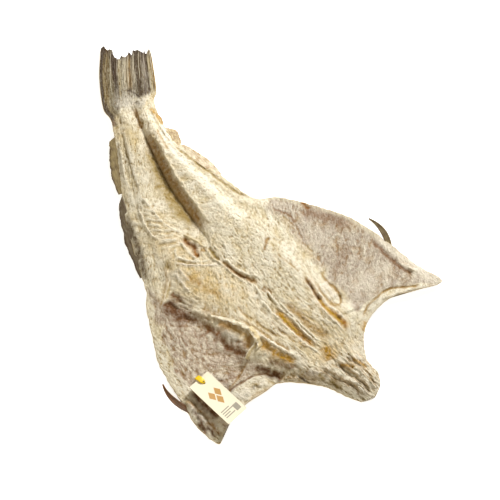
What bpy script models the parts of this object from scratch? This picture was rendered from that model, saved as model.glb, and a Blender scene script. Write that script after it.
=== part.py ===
# Salted dried cod: one whole fish, headless, split open along its belly, dried flat and lying
# skin side down, with a card tag held by a plastic strap on its left belly flap.
# The tail points along +Y, the flesh faces +Z, the skin rests on the floor at z = 0.

import math

import bmesh
import bpy
import numpy as np
from mathutils import Euler, Matrix, Vector

MM = 0.001

# Crosswise lines of the fish from tail to neck, in millimetres:
# name, left edge, spine, right edge, then how far the left and the right half of the
# line bow towards the tail, as a share of the half's length.
CROSS_LINES = [
    ("tail fin tips", (37, 364), (67, 333), (98, 311), 0.0, 0.0),
    ("tail fin middle", (4, 323), (41, 297), (84, 285), 0.0, 0.0),
    ("tail fin base", (-22, 277), (17, 260), (63, 249), 0.0, 0.0),
    ("tail root", (-25, 251), (12, 242), (47, 234), 0.0, 0.0),
    ("tail narrowest", (-49, 203), (2, 194), (36, 192), 0.0, 0.0),
    ("tail quarter", (-84, 144), (-11, 142), (39, 143), 0.0, 0.0),
    ("tail half", (-114, 87), (-20, 86), (53, 89), 0.0, 0.0),
    ("tail cut end", (-139, 22), (-23, 24), (68, 26), 0.0, 0.0),
    ("belly start", (-151, -11), (-26, -4), (80, 0), 0.0, 0.0),
    ("belly cavity", (-168, -35), (-31, -29), (112, -22), 0.0, 0.0),
    ("flap start", (-194, -90), (-16, -92), (162, -89), 0.0, 0.0),
    ("flap quarter", (-207, -124), (-8, -128), (184, -130), 0.0, 0.0),
    ("flap half", (-215, -196), (-5, -183), (204, -204), 0.03, 0.02),
    ("flap wide", (-218, -231), (-4, -203), (211, -239), 0.10, 0.06),
    ("flap corners", (-208, -272), (-2, -220), (227, -286), 0.17, 0.11),
    ("flap front outer", (-186, -260), (0, -236), (188, -274), 0.17, 0.14),
    ("flap front middle", (-142, -250), (3, -249), (148, -258), 0.16, 0.12),
    ("flap front inner", (-102, -253), (6, -262), (107, -260), 0.12, 0.10),
    ("collar", (-78, -255), (9, -275), (77, -275), 0.05, 0.05),
    ("neck start", (-50, -276), (13, -292), (58, -300), 0.0, 0.0),
    ("neck middle", (-24, -304), (17, -311), (52, -318), 0.0, 0.0),
    ("neck lower", (-7, -335), (21, -336), (54, -336), 0.0, 0.0),
    ("neck end", (6, -358), (27, -365), (47, -354), -0.1, -0.1),
]
STATIONS_PER_LINE = [3, 3, 2, 3, 3, 3, 4, 3, 2, 4, 3, 4, 2, 2, 2, 2, 2, 2, 2, 2, 2, 2]

# Thickness of the flesh along the spine, in millimetres above the floor. Each row starts with
# the spine's y, then the spine groove; then for the left and the right half: where its fillet
# is highest (share of the half) and how high, where the thin flap starts and how high;
# last the top of the edge, and how far the underside lifts at the edge and at the spine.
FLESH = [
    (333, 6.0, 0.50, 6.0, 0.80, 5.5, 0.50, 6.0, 0.80, 5.5, 5.0, 2.0, 2.5),
    (260, 9.0, 0.50, 9.0, 0.80, 7.5, 0.50, 9.0, 0.80, 7.5, 6.0, 2.5, 2.5),
    (242, 12.0, 0.45, 17.0, 0.80, 12.0, 0.45, 18.0, 0.80, 12.0, 8.0, 2.5, 1.2),
    (194, 10.0, 0.50, 20.0, 0.85, 13.0, 0.50, 23.0, 0.80, 14.0, 8.0, 2.5, 0.0),
    (130, 7.0, 0.55, 21.0, 0.88, 12.0, 0.50, 26.0, 0.80, 13.0, 7.0, 3.0, 0.0),
    (24, 10.0, 0.50, 23.0, 0.85, 13.0, 0.50, 30.0, 0.80, 14.0, 7.0, 3.0, 0.0),
    (-29, 22.0, 0.40, 24.0, 0.80, 13.0, 0.40, 30.0, 0.80, 14.0, 6.5, 3.0, 0.0),
    (-92, 23.0, 0.30, 28.0, 0.62, 12.0, 0.30, 32.0, 0.62, 12.0, 6.5, 3.0, 0.0),
    (-128, 25.0, 0.28, 30.0, 0.55, 9.5, 0.28, 33.0, 0.52, 10.0, 6.5, 3.0, 0.0),
    (-203, 27.0, 0.20, 32.0, 0.44, 7.5, 0.20, 35.0, 0.42, 8.0, 7.5, 3.5, 0.0),
    (-236, 28.0, 0.20, 32.0, 0.45, 10.0, 0.25, 35.0, 0.50, 10.0, 11.0, 4.0, 0.0),
    (-262, 30.0, 0.35, 31.0, 0.75, 14.0, 0.45, 35.0, 0.80, 14.0, 12.0, 3.0, 0.0),
    (-292, 28.0, 0.50, 30.0, 0.85, 20.0, 0.50, 33.0, 0.85, 22.0, 13.0, 3.0, 0.0),
    (-334, 24.0, 0.50, 24.0, 0.85, 16.0, 0.50, 25.0, 0.85, 17.0, 11.0, 3.0, 1.0),
    (-365, 14.0, 0.50, 14.0, 0.85, 13.0, 0.50, 14.0, 0.85, 13.0, 10.0, 3.5, 2.5),
]
LEFT_WALL = 1.0          # how the left wall of the spine groove rises; lower is steeper
RIGHT_WALL = 0.72        # the same for the right wall, which is nearly upright at its foot
FLAT_SHARE = 0.34        # share of each half that rests flat on the floor
EDGE_BULGE = 1.5         # how far the rounded edge stands out past the surface points
EDGE_RIPPLE = 1.3        # height of the dried ripples along the edge
RIPPLE_LENGTH = 46.0     # length of one ripple along the fish
COLUMNS = [0.0, 0.06, 0.12, 0.2, 0.28, 0.36, 0.44, 0.52, 0.6, 0.68, 0.76, 0.84, 0.9, 0.95, 1.0]

# Broken ends of the tail fin's rays: place across the fin, and how far they reach past its tips
RAY_ENDS = [
    (-1.0, -1), (-0.9, 3), (-0.76, -2), (-0.68, 3), (-0.6, 3), (-0.52, -13), (-0.2, -12), (0.0, -6),
    (0.12, -4), (0.2, -10), (0.28, 2), (0.44, 2), (0.6, -2), (0.84, -2), (0.9, 5), (1.0, -1),
]

# Remains of the other fins along the edges, each an outline whose inner points lie in the flesh
FIN_THICKNESS = 2.6
EDGE_FINS = {
    "anal fin": [(-35, 224), (-50, 224), (-57, 214), (-67, 200), (-76, 185), (-84, 168), (-90, 144),
                 (-74, 140), (-40, 205)],
    "rear anal fin": [(-88, 140), (-100, 130), (-108, 118), (-116, 100), (-128, 75), (-136, 50),
                      (-145, 12), (-130, 10), (-80, 130)],
    "tail root web": [(34, 231), (38, 228), (41, 214), (41, 197), (34, 194), (20, 200), (28, 231)],
    "third back fin": [(36, 187), (43, 181), (47, 174), (45, 164), (41, 152), (26, 152), (24, 182)],
    "second back fin": [(42, 145), (46, 138), (51, 124), (56, 107), (59, 95), (60, 72), (44, 74),
                        (30, 138)],
}
EDGE_FIN_HEIGHT = 4.6

# Dried pectoral fins that stand out behind each flap: base, bend, tip and width of the blade
PECTORAL_FINS = {
    "left pectoral fin": [(-211, -208), (-230, -172), (-221, -146), 10.0],
    "right pectoral fin": [(198, -192), (212, -163), (200, -136), 11.0],
}
PECTORAL_HEIGHT = 4.2
PECTORAL_STEPS = 9

# Card tag and its strap
TAG_WIDTH = 40.0
TAG_HEIGHT = 86.0
TAG_THICKNESS = 0.8
TAG_PLACE = (-166.8, -217.0, 21.5)
TAG_TILT = (-8.0, 15.0, 8.3)     # degrees about its width, its height and the vertical
HOLE_PLACE = (2.0, 33.0)
HOLE_RADIUS = 2.6
HOLE_SIDES = 20
CUTTER_DEPTH = 8.0
STRAP_PATH = [(2.0, 33.0, -1.8, 0.42), (2.0, 33.2, 1.4, 0.5), (1.6, 37.0, 2.6, 1.0),
              (1.0, 42.0, 2.6, 1.0), (0.4, 46.4, 1.4, 0.9), (0.0, 48.0, -2.4, 0.8)]
STRAP_WIDTH = 9.0
STRAP_THICKNESS = 2.2
STRAP_SIDES = 12


def clear_scene():
    for item in list(bpy.data.objects):
        bpy.data.objects.remove(item, do_unlink=True)


def new_collection(name):
    collection = bpy.data.collections.new(name)
    bpy.context.scene.collection.children.link(collection)
    return collection


def new_material(name, colour, roughness, metallic=0.0):
    material = bpy.data.materials.new(name)
    material.use_nodes = True
    shader = material.node_tree.nodes["Principled BSDF"]
    shader.inputs["Base Color"].default_value = (*colour, 1.0)
    shader.inputs["Roughness"].default_value = roughness
    shader.inputs["Metallic"].default_value = metallic
    material.diffuse_color = (*colour, 1.0)
    return material


def smooth_step(share):
    share = np.clip(share, 0.0, 1.0)
    return share * share * (3.0 - 2.0 * share)


def spline(points, index, share):
    # Catmull-Rom curve through a row of points, at a share of the way past one of them
    last = len(points) - 1
    before, start = points[max(index - 1, 0)], points[index]
    end, after = points[min(index + 1, last)], points[min(index + 2, last)]
    return 0.5 * (2.0 * start + (end - before) * share
                  + (2.0 * before - 5.0 * start + 4.0 * end - after) * share ** 2
                  + (3.0 * start - before - 3.0 * end + after) * share ** 3)


def station_lines():
    # left, spine, right and the two bows for every station from tail to neck
    table = np.array([[*left, *spine, *right, bow_left, bow_right]
                      for _, left, spine, right, bow_left, bow_right in CROSS_LINES], float)
    rows = []
    for index, steps in enumerate(STATIONS_PER_LINE):
        for step in range(steps):
            rows.append((index + step / steps, spline(table, index, step / steps)))
    rows.append((len(table) - 1.0, table[-1]))
    return rows


def flesh_at(y):
    keys = np.array(FLESH)[::-1]
    return [float(np.interp(y, keys[:, 0], keys[:, column])) for column in range(1, keys.shape[1])]


def ray_reach(across, line):
    # only the tips of the tail fin are broken unevenly
    reach = np.interp(across, [place for place, _ in RAY_ENDS], [end for _, end in RAY_ENDS])
    return reach * max(0.0, 1.0 - line) ** 2


def plan_point(row, across, line):
    # position over the floor of the point that lies at `across` (-1 left edge, 1 right edge)
    spine = Vector(row[2:4])
    edge = Vector(row[0:2]) if across < 0 else Vector(row[4:6])
    bow = row[6] if across < 0 else row[7]
    share = abs(across)
    middle = (spine + edge) / 2.0 + Vector((0.0, 1.0)) * bow * (edge - spine).length
    point = spine * (1.0 - share) ** 2 + middle * 2.0 * share * (1.0 - share) + edge * share ** 2
    fin_direction = Vector(CROSS_LINES[0][2]) - Vector(CROSS_LINES[1][2])
    return point + fin_direction.normalized() * ray_reach(across, line)


def top_height(flesh, across):
    groove, rim = flesh[0], flesh[9]
    crest_at, crest, flap_at, flap = flesh[1:5] if across < 0 else flesh[5:9]
    wall = LEFT_WALL if across < 0 else RIGHT_WALL
    share = abs(across)
    if share < crest_at:
        return groove + (crest - groove) * math.sin(math.pi / 2.0 * (share / crest_at) ** wall)
    if share < flap_at:
        return crest + (flap - crest) * float(smooth_step((share - crest_at) / (flap_at - crest_at)))
    return flap + (rim - flap) * float(smooth_step((share - flap_at) / (1.0 - flap_at)))


def underside_height(flesh, across):
    lift_edge, lift_spine = flesh[10], flesh[11]
    share = float(smooth_step((abs(across) - FLAT_SHARE) / (1.0 - FLAT_SHARE)))
    return lift_spine + (lift_edge - lift_spine) * share


def ripple(point, across):
    wave = math.sin(point.y / RIPPLE_LENGTH * 2.0 * math.pi + (0.0 if across < 0 else 2.0))
    return EDGE_RIPPLE * (0.5 + 0.5 * wave) * float(smooth_step((abs(across) - 0.6) / 0.4))


def section_ring(line, row):
    # one closed ring round the fish: top from left to right, edge, underside back, edge
    flesh = flesh_at(row[3])
    across_all = [-share for share in reversed(COLUMNS[1:])] + COLUMNS
    top = []
    underside = []
    for across in across_all:
        point = plan_point(row, across, line)
        wave = ripple(point, across)
        top.append(Vector((point.x, point.y, top_height(flesh, across) + wave)))
        underside.append(Vector((point.x, point.y, underside_height(flesh, across) + wave)))
    left_out = (top[0] - top[1]).normalized() * EDGE_BULGE
    right_out = (top[-1] - top[-2]).normalized() * EDGE_BULGE
    left_mid = (top[0] + underside[0]) / 2.0 + Vector((left_out.x, left_out.y, 0.0))
    right_mid = (top[-1] + underside[-1]) / 2.0 + Vector((right_out.x, right_out.y, 0.0))
    return [*top, right_mid, *reversed(underside), left_mid]


def close_end(mesh, ring, outward):
    # strip of quads between the top and the underside of an end section
    count = (len(ring) - 2) // 2
    top, right_mid = ring[:count], ring[count]
    underside, left_mid = ring[count + 1:2 * count + 1][::-1], ring[-1]
    faces = [[top[i], top[i + 1], underside[i + 1], underside[i]] for i in range(count - 1)]
    faces.append([top[-1], right_mid, underside[-1]])
    faces.append([top[0], underside[0], left_mid])
    for corners in faces:
        mesh.faces.new(corners if outward else corners[::-1])


def make_fish(material):
    mesh = bmesh.new()
    rings = []
    for line, row in station_lines():
        rings.append([mesh.verts.new(point * MM) for point in section_ring(line, row)])
    for ring, following in zip(rings, rings[1:]):
        for i in range(len(ring)):
            j = (i + 1) % len(ring)
            mesh.faces.new((ring[i], following[i], following[j], ring[j]))
    close_end(mesh, rings[0], False)
    close_end(mesh, rings[-1], True)
    bmesh.ops.recalc_face_normals(mesh, faces=mesh.faces)
    data = bpy.data.meshes.new("split_cod")
    mesh.to_mesh(data)
    mesh.free()
    data.materials.append(material)
    data.shade_smooth()
    return bpy.data.objects.new("split_cod", data)


def outline_plate(name, points, thickness):
    # flat plate on z = 0 with the given outline, as a welded mesh object
    curve = bpy.data.curves.new(name, "CURVE")
    curve.dimensions = "2D"
    curve.fill_mode = "BOTH"
    curve.extrude = thickness / 2.0 * MM
    outline = curve.splines.new("POLY")
    outline.points.add(len(points) - 1)
    for corner, (x, y) in zip(outline.points, points):
        corner.co = (x * MM, y * MM, 0.0, 1.0)
    outline.use_cyclic_u = True
    return curve_to_mesh(name, curve)


def curve_to_mesh(name, curve):
    source = bpy.data.objects.new(name + " curve", curve)
    bpy.context.scene.collection.objects.link(source)
    bpy.context.view_layer.update()
    graph = bpy.context.evaluated_depsgraph_get()
    data = bpy.data.meshes.new_from_object(source.evaluated_get(graph))
    bpy.data.objects.remove(source)
    mesh = bmesh.new()
    mesh.from_mesh(data)
    bmesh.ops.remove_doubles(mesh, verts=mesh.verts, dist=0.00001)
    bmesh.ops.recalc_face_normals(mesh, faces=mesh.faces)
    mesh.to_mesh(data)
    mesh.free()
    data.name = name
    return bpy.data.objects.new(name, data)


def pectoral_outline(base, bend, tip, width):
    # a blade that follows base, bend and tip, widest near its base and narrow at its tip
    base, bend, tip = Vector(base), Vector(bend), Vector(tip)
    one_side = []
    other_side = []
    for step in range(PECTORAL_STEPS + 1):
        share = step / PECTORAL_STEPS
        middle = base * (1 - share) ** 2 + bend * 2 * share * (1 - share) + tip * share ** 2
        along = ((bend - base) * (1 - share) + (tip - bend) * share).normalized()
        half = width * (1.0 - share) ** 0.6 * (0.55 + 0.45 * math.sin(math.pi * share)) + 1.0
        normal = Vector((-along.y, along.x)) * half / 2.0
        one_side.append(middle + normal)
        other_side.append(middle - normal)
    return [tuple(point) for point in one_side + other_side[::-1]]


def join_by_union(target, tool, tools):
    tools.objects.link(tool)
    tool.hide_render = True
    tool.display_type = "WIRE"
    union = target.modifiers.new(tool.name, "BOOLEAN")
    union.operation = "UNION"
    union.solver = "EXACT"
    union.object = tool


def cut_away(target, tool, tools):
    tools.objects.link(tool)
    tool.hide_render = True
    tool.display_type = "WIRE"
    cut = target.modifiers.new(tool.name, "BOOLEAN")
    cut.operation = "DIFFERENCE"
    cut.solver = "EXACT"
    cut.object = tool


def add_fins(fish, tools):
    for name, outline in EDGE_FINS.items():
        fin = outline_plate(name, outline, FIN_THICKNESS)
        fin.location.z = EDGE_FIN_HEIGHT * MM
        join_by_union(fish, fin, tools)
    for name, (base, bend, tip, width) in PECTORAL_FINS.items():
        fin = outline_plate(name, pectoral_outline(base, bend, tip, width), FIN_THICKNESS)
        fin.location.z = PECTORAL_HEIGHT * MM
        join_by_union(fish, fin, tools)


def made_by_operator(name):
    # the object the last operator made, taken out of the collection that it landed in
    item = bpy.context.object
    item.name = name
    for collection in item.users_collection:
        collection.objects.unlink(item)
    return item


def tag_matrix():
    tilt = Euler([math.radians(angle) for angle in TAG_TILT], "YXZ")
    return Matrix.Translation(Vector(TAG_PLACE) * MM) @ tilt.to_matrix().to_4x4()


def make_tag(material, tools):
    bpy.ops.mesh.primitive_cube_add(size=1.0)
    tag = made_by_operator("paper_tag")
    tag.data.transform(Matrix.Diagonal((TAG_WIDTH * MM, TAG_HEIGHT * MM, TAG_THICKNESS * MM, 1.0)))
    tag.matrix_world = tag_matrix()
    tag.data.materials.append(material)
    bpy.ops.mesh.primitive_cylinder_add(
        vertices=HOLE_SIDES, radius=HOLE_RADIUS * MM, depth=CUTTER_DEPTH * MM)
    punch = made_by_operator("tag hole")
    punch.matrix_world = tag_matrix() @ Matrix.Translation(Vector((*HOLE_PLACE, 0.0)) * MM)
    cut_away(tag, punch, tools)
    return tag


def make_strap(material):
    profile = bpy.data.curves.new("strap profile", "CURVE")
    profile.dimensions = "2D"
    oval = profile.splines.new("POLY")
    oval.points.add(STRAP_SIDES - 1)
    for i, corner in enumerate(oval.points):
        angle = 2.0 * math.pi * i / STRAP_SIDES
        corner.co = (STRAP_WIDTH / 2.0 * math.cos(angle) * MM,
                     STRAP_THICKNESS / 2.0 * math.sin(angle) * MM, 0.0, 1.0)
    oval.use_cyclic_u = True
    profile_object = bpy.data.objects.new("strap profile", profile)
    bpy.context.scene.collection.objects.link(profile_object)
    curve = bpy.data.curves.new("tag_strap", "CURVE")
    curve.dimensions = "3D"
    curve.bevel_mode = "OBJECT"
    curve.bevel_object = profile_object
    curve.use_fill_caps = True
    path = curve.splines.new("POLY")
    path.points.add(len(STRAP_PATH) - 1)
    for corner, (x, y, z, width) in zip(path.points, STRAP_PATH):
        corner.co = (x * MM, y * MM, z * MM, 1.0)
        corner.radius = width
    strap = curve_to_mesh("tag_strap", curve)
    bpy.data.objects.remove(profile_object)
    strap.data.materials.append(material)
    strap.data.shade_smooth()
    strap.matrix_world = tag_matrix()
    return strap


def main():
    clear_scene()
    parts = new_collection("salted dried cod")
    tools = new_collection("tools")
    flesh = new_material("dried cod flesh", (0.62, 0.48, 0.30), 0.62)
    card = new_material("tag card", (0.82, 0.77, 0.62), 0.7)
    plastic = new_material("yellow plastic", (0.66, 0.45, 0.02), 0.35)
    fish = make_fish(flesh)
    add_fins(fish, tools)
    parts.objects.link(fish)
    parts.objects.link(make_tag(card, tools))
    parts.objects.link(make_strap(plastic))


main()
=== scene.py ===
# Salted dried cod, split open and dried flat with its flesh up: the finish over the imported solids.
import math

import bmesh
import bpy
import numpy as np
from mathutils import Euler, Matrix, Vector, kdtree


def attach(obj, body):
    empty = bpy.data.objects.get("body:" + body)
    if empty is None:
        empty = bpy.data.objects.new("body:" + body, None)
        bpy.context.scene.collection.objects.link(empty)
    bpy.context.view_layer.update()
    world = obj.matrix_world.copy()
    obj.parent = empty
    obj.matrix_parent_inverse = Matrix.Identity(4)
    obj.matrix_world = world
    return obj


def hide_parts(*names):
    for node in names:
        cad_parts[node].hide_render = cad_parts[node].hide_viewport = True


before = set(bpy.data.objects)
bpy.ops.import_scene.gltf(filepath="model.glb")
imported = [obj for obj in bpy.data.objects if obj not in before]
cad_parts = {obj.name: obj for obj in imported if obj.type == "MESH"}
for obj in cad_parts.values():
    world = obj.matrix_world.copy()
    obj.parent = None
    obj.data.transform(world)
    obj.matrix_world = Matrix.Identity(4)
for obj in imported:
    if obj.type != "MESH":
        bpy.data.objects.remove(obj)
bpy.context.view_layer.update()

mm = 0.001
print("frame loaded:", sorted(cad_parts))


# colours are written as screen values, 0 to 255
def ink(red, green, blue):
    value = np.array([red, green, blue], float) / 255.0
    return np.where(value <= 0.04045, value / 12.92, ((value + 0.055) / 1.055) ** 2.4)


inks = {
    "gilt": ink(216, 186, 118),
    "cream": ink(226, 218, 194),
    "bright": ink(244, 239, 222),
    "straw": ink(212, 196, 154),
    "olive": ink(162, 138, 78),
    "tan": ink(172, 138, 76),
    "amber": ink(188, 142, 28),
    "deepAmber": ink(148, 94, 8),
    "yellow": ink(208, 168, 36),
    "ochre": ink(160, 122, 62),
    "brown": ink(124, 80, 32),
    "redBrown": ink(106, 66, 22),
    "dark": ink(62, 40, 22),
    "mauve": ink(191, 179, 165),
    "leftMauve": ink(197, 180, 162),
    "grey": ink(196, 190, 176),
    "finTan": ink(146, 132, 94),
    "finBrown": ink(98, 80, 50),
    "skin": ink(104, 94, 76),
    "white": ink(240, 233, 218),
    "salt": ink(245, 241, 230),
}


def smoothStep(share):
    share = np.clip(share, 0.0, 1.0)
    return share * share * (3.0 - 2.0 * share)


def mix(first, second, share):
    return first + (second - first) * share


# smooth random field between about -1 and 1, with bumps of the given size
def bumps(x, y, size, seed):
    turn = np.random.default_rng(seed).random((256, 256)) * 2.0 * math.pi
    u, v = x / size, y / size
    i, j = np.floor(u).astype(int), np.floor(v).astype(int)
    u, v = u - i, v - j

    def corner(right, up):
        angle = turn[(i + right) % 256, (j + up) % 256]
        return np.cos(angle) * (u - right) + np.sin(angle) * (v - up)

    ease = u ** 3 * (u * (u * 6.0 - 15.0) + 10.0)
    lift = v ** 3 * (v * (v * 6.0 - 15.0) + 10.0)
    return 1.6 * mix(mix(corner(0, 0), corner(1, 0), ease), mix(corner(0, 1), corner(1, 1), ease), lift)


def roughness(x, y, size, seed, octaves=3, keep=0.5):
    total = 0.0
    for octave in range(octaves):
        total = total + keep ** octave * bumps(x, y, size / 2.0 ** octave, seed + octave)
    return total


# narrow raised wrinkles with wide hollows between them
def wrinkles(x, y, size, seed, octaves=2):
    total = 0.0
    for octave in range(octaves):
        crest = 1.0 - np.abs(bumps(x, y, size / 2.0 ** octave, seed + octave)) * 2.0
        total = total + 0.55 ** octave * crest
    return total - 0.55


def spline(table, place):
    # Catmull-Rom curve through the rows of a table, read at any row number
    table = np.asarray(table, float)
    place = np.atleast_1d(np.asarray(place, float))
    last = len(table) - 1
    index = np.clip(np.floor(place).astype(int), 0, last - 1)
    share = (place - index)[:, None]
    before, start = table[np.maximum(index - 1, 0)], table[index]
    end, after = table[index + 1], table[np.minimum(index + 2, last)]
    return 0.5 * (2.0 * start + (end - before) * share
                  + (2.0 * before - 5.0 * start + 4.0 * end - after) * share ** 2
                  + (3.0 * start - before - 3.0 * end + after) * share ** 3)


def smoothLine(points, step):
    # points about `step` apart along a smooth line through the given ones
    points = np.asarray(points, float)
    length = np.hypot(*np.diff(points[:, :2], axis=0).T).sum()
    count = max(6, int(length / step))
    return spline(points, np.linspace(0, len(points) - 1, count))


# the fish: crosswise lines from tail to neck (left edge, spine, right edge, bow of each half),
# then the thickness of the flesh along the spine, as in the solid that this stands for
body = {
    "lines": [
        ((37, 364), (67, 333), (98, 311), 0, 0), ((4, 323), (41, 297), (84, 285), 0, 0),
        ((-22, 277), (17, 260), (63, 249), 0, 0), ((-25, 251), (12, 242), (47, 234), 0, 0),
        ((-49, 203), (2, 194), (36, 192), 0, 0), ((-84, 144), (-11, 142), (39, 143), 0, 0),
        ((-114, 87), (-20, 86), (53, 89), 0, 0), ((-139, 22), (-23, 24), (68, 26), 0, 0),
        ((-151, -11), (-26, -4), (80, 0), 0, 0), ((-168, -35), (-31, -29), (112, -22), 0, 0),
        ((-194, -90), (-16, -92), (162, -89), 0, 0), ((-207, -124), (-8, -128), (184, -130), 0, 0),
        ((-215, -196), (-5, -183), (204, -204), 0.03, 0.02),
        ((-218, -231), (-4, -203), (211, -239), 0.10, 0.06),
        ((-208, -272), (-2, -220), (227, -286), 0.17, 0.11),
        ((-186, -260), (0, -236), (188, -274), 0.17, 0.14),
        ((-142, -250), (3, -249), (148, -258), 0.16, 0.12),
        ((-102, -253), (6, -262), (107, -260), 0.12, 0.10),
        ((-78, -255), (9, -275), (77, -275), 0.05, 0.05),
        ((-50, -276), (13, -292), (58, -300), 0, 0), ((-24, -304), (17, -311), (52, -318), 0, 0),
        ((-7, -335), (21, -336), (54, -336), 0, 0), ((6, -358), (27, -365), (47, -354), -0.1, -0.1),
    ],
    # spine y, groove, left crest at, crest, flap at, flap, right the same, rim, lift at edge, at spine
    "flesh": [
        (333, 6, 0.50, 6, 0.80, 5.5, 0.50, 6, 0.80, 5.5, 5, 2.0, 2.5),
        (260, 9, 0.50, 9, 0.80, 7.5, 0.50, 9, 0.80, 7.5, 6, 2.5, 2.5),
        (242, 12, 0.45, 17, 0.80, 12, 0.45, 18, 0.80, 12, 8, 2.5, 1.2),
        (194, 10, 0.50, 20, 0.85, 13, 0.50, 23, 0.80, 14, 8, 2.5, 0),
        (130, 7, 0.55, 21, 0.88, 12, 0.50, 26, 0.80, 13, 7, 3, 0),
        (24, 10, 0.50, 23, 0.85, 13, 0.50, 30, 0.80, 14, 7, 3, 0),
        (-29, 25, 0.40, 26, 0.80, 13, 0.40, 30, 0.80, 14, 6.5, 3, 0),
        (-92, 28, 0.30, 29, 0.66, 12, 0.30, 32, 0.62, 12, 6.5, 3, 0),
        (-128, 30, 0.28, 30, 0.62, 9.5, 0.28, 33, 0.52, 10, 6.5, 3, 0),
        (-203, 31, 0.20, 32, 0.54, 7.5, 0.20, 35, 0.42, 8, 7.5, 3.5, 0),
        (-236, 31, 0.20, 32, 0.55, 10, 0.25, 35, 0.50, 10, 11, 4, 0),
        (-262, 30, 0.35, 31, 0.75, 14, 0.45, 35, 0.80, 14, 12, 3, 0),
        (-292, 28, 0.50, 30, 0.85, 20, 0.50, 33, 0.85, 22, 13, 3, 0),
        (-334, 24, 0.50, 24, 0.85, 16, 0.50, 25, 0.85, 17, 11, 3, 1),
        (-365, 14, 0.50, 14, 0.85, 13, 0.50, 14, 0.85, 13, 10, 3.5, 2.5),
    ],
    "rayEnds": [(-1, -1), (-0.9, 3), (-0.76, -2), (-0.68, 3), (-0.6, 3), (-0.52, -13), (-0.2, -12),
                (0, -6), (0.12, -4), (0.2, -10), (0.28, 2), (0.44, 2), (0.6, -2), (0.84, -2),
                (0.9, 5), (1, -1)],
    "stationGap": 1.9,      # mm between stations along the longest edge
    "halfColumns": 98,       # columns from the spine to each edge, on top; closest at the spine
    "tailStep": 2,           # the tail takes every second column, as far as the belly
    "bellyStart": 8,
    "underColumns": 7,       # columns of each half under the fish
    "flatShare": 0.34,       # share of each half that lies flat
    "edgeBulge": 1.5,
    "ripple": 1.3,
    "rippleLength": 46.0,
}


def stationPlaces():
    table = np.array([[*left, *right] for left, spine, right, bowLeft, bowRight in body["lines"]], float)
    places = []
    for index in range(len(table) - 1):
        step = table[index + 1] - table[index]
        length = max(np.hypot(*step[:2]), np.hypot(*step[2:]))
        count = max(3, int(round(length / body["stationGap"])))
        places.extend(index + np.arange(count) / count)
    return np.array([*places, len(table) - 1.0])


def fleshTracks(spineY):
    keys = np.array(body["flesh"], float)[::-1]
    tracks = [np.interp(spineY, keys[:, 0], keys[:, column]) for column in range(1, keys.shape[1])]
    window = np.hanning(17) / np.hanning(17).sum()
    return [np.convolve(np.pad(track, 8, mode="edge"), window, mode="valid")[:, None] for track in tracks]


def topHeight(tracks, across):
    groove, rim = tracks[0], tracks[9]
    height = 0.0
    for side, (crestAt, crest, flapAt, flap) in ((-1, tracks[1:5]), (1, tracks[5:9])):
        share = np.abs(across)[None, :]
        steep = 1.0 if side < 0 else 0.72
        wall = groove + (crest - groove) * np.sin(0.5 * math.pi * np.clip(share / crestAt, 0, 1) ** steep)
        slope = mix(crest, flap, smoothStep((share - crestAt) / (flapAt - crestAt)))
        thin = mix(flap, rim, smoothStep((share - flapAt) / (1.0 - flapAt)))
        whole = np.where(share < crestAt, wall, np.where(share < flapAt, slope, thin))
        chosen = (across < 0) if side < 0 else (across >= 0)
        height = height + whole * chosen[None, :]
    return height


def plan(places, across):
    rows = spline([[*left, *spine, *right, bowLeft, bowRight]
                   for left, spine, right, bowLeft, bowRight in body["lines"]], places)
    share = np.abs(across)[None, :, None]
    left = (across < 0)[None, :, None]
    spine = rows[:, None, 2:4]
    edge = np.where(left, rows[:, None, 0:2], rows[:, None, 4:6])
    bow = np.where(left[..., 0], rows[:, None, 6], rows[:, None, 7])
    reach = np.hypot(*(edge - spine).transpose(2, 0, 1))
    middle = (spine + edge) / 2.0
    middle[..., 1] += bow * reach
    point = spine * (1 - share) ** 2 + middle * 2 * share * (1 - share) + edge * share ** 2
    finWay = np.array(body["lines"][0][1], float) - np.array(body["lines"][1][1], float)
    finWay = finWay / np.hypot(*finWay)
    ends = np.interp(across, *np.array(body["rayEnds"], float).T)
    fade = np.clip(1.0 - places, 0, 1)[:, None] ** 2
    return point + (ends[None, :] * fade)[..., None] * finWay, reach, rows[:, 3]


print("shaping the fish")
places = stationPlaces()
halfShare = np.linspace(0, 1, body["halfColumns"] + 1)
halfShare = 0.62 * halfShare + 0.38 * halfShare ** 2
across = np.concatenate([-halfShare[:0:-1], halfShare])
flat, reach, spineY = plan(places, across)
tracks = fleshTracks(spineY)
atX, atY = flat[..., 0], flat[..., 1]
atZ = topHeight(tracks, across)
wave = np.sin(atY / body["rippleLength"] * 2 * math.pi + np.where(across < 0, 0.0, 2.0))
rippleUp = body["ripple"] * (0.5 + 0.5 * wave) * smoothStep((np.abs(across) - 0.6) / 0.4)
atZ = atZ + rippleUp
fromEdge = (1.0 - np.abs(across))[None, :] * reach      # mm in from the edge
print("stations", len(places), "columns", len(across))


def groove(path, wide, high, inkName, share, inkWide, **more):
    return dict(form="groove", path=path, wide=wide, high=high, ink=inkName, share=share,
                inkWide=inkWide, **more)


def ridge(path, *sizes, **more):
    return {**groove(path, *sizes, **more), "form": "ridge"}


def lip(path, side, *sizes, **more):
    return {**groove(path, *sizes, **more), "form": "lip", "side": side}


def stainOrLightMark(path, inkName, share, inkWide, **more):
    return {**groove(path, 0, 0, inkName, share, inkWide, **more), "form": "stainOrLightMark"}
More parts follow.
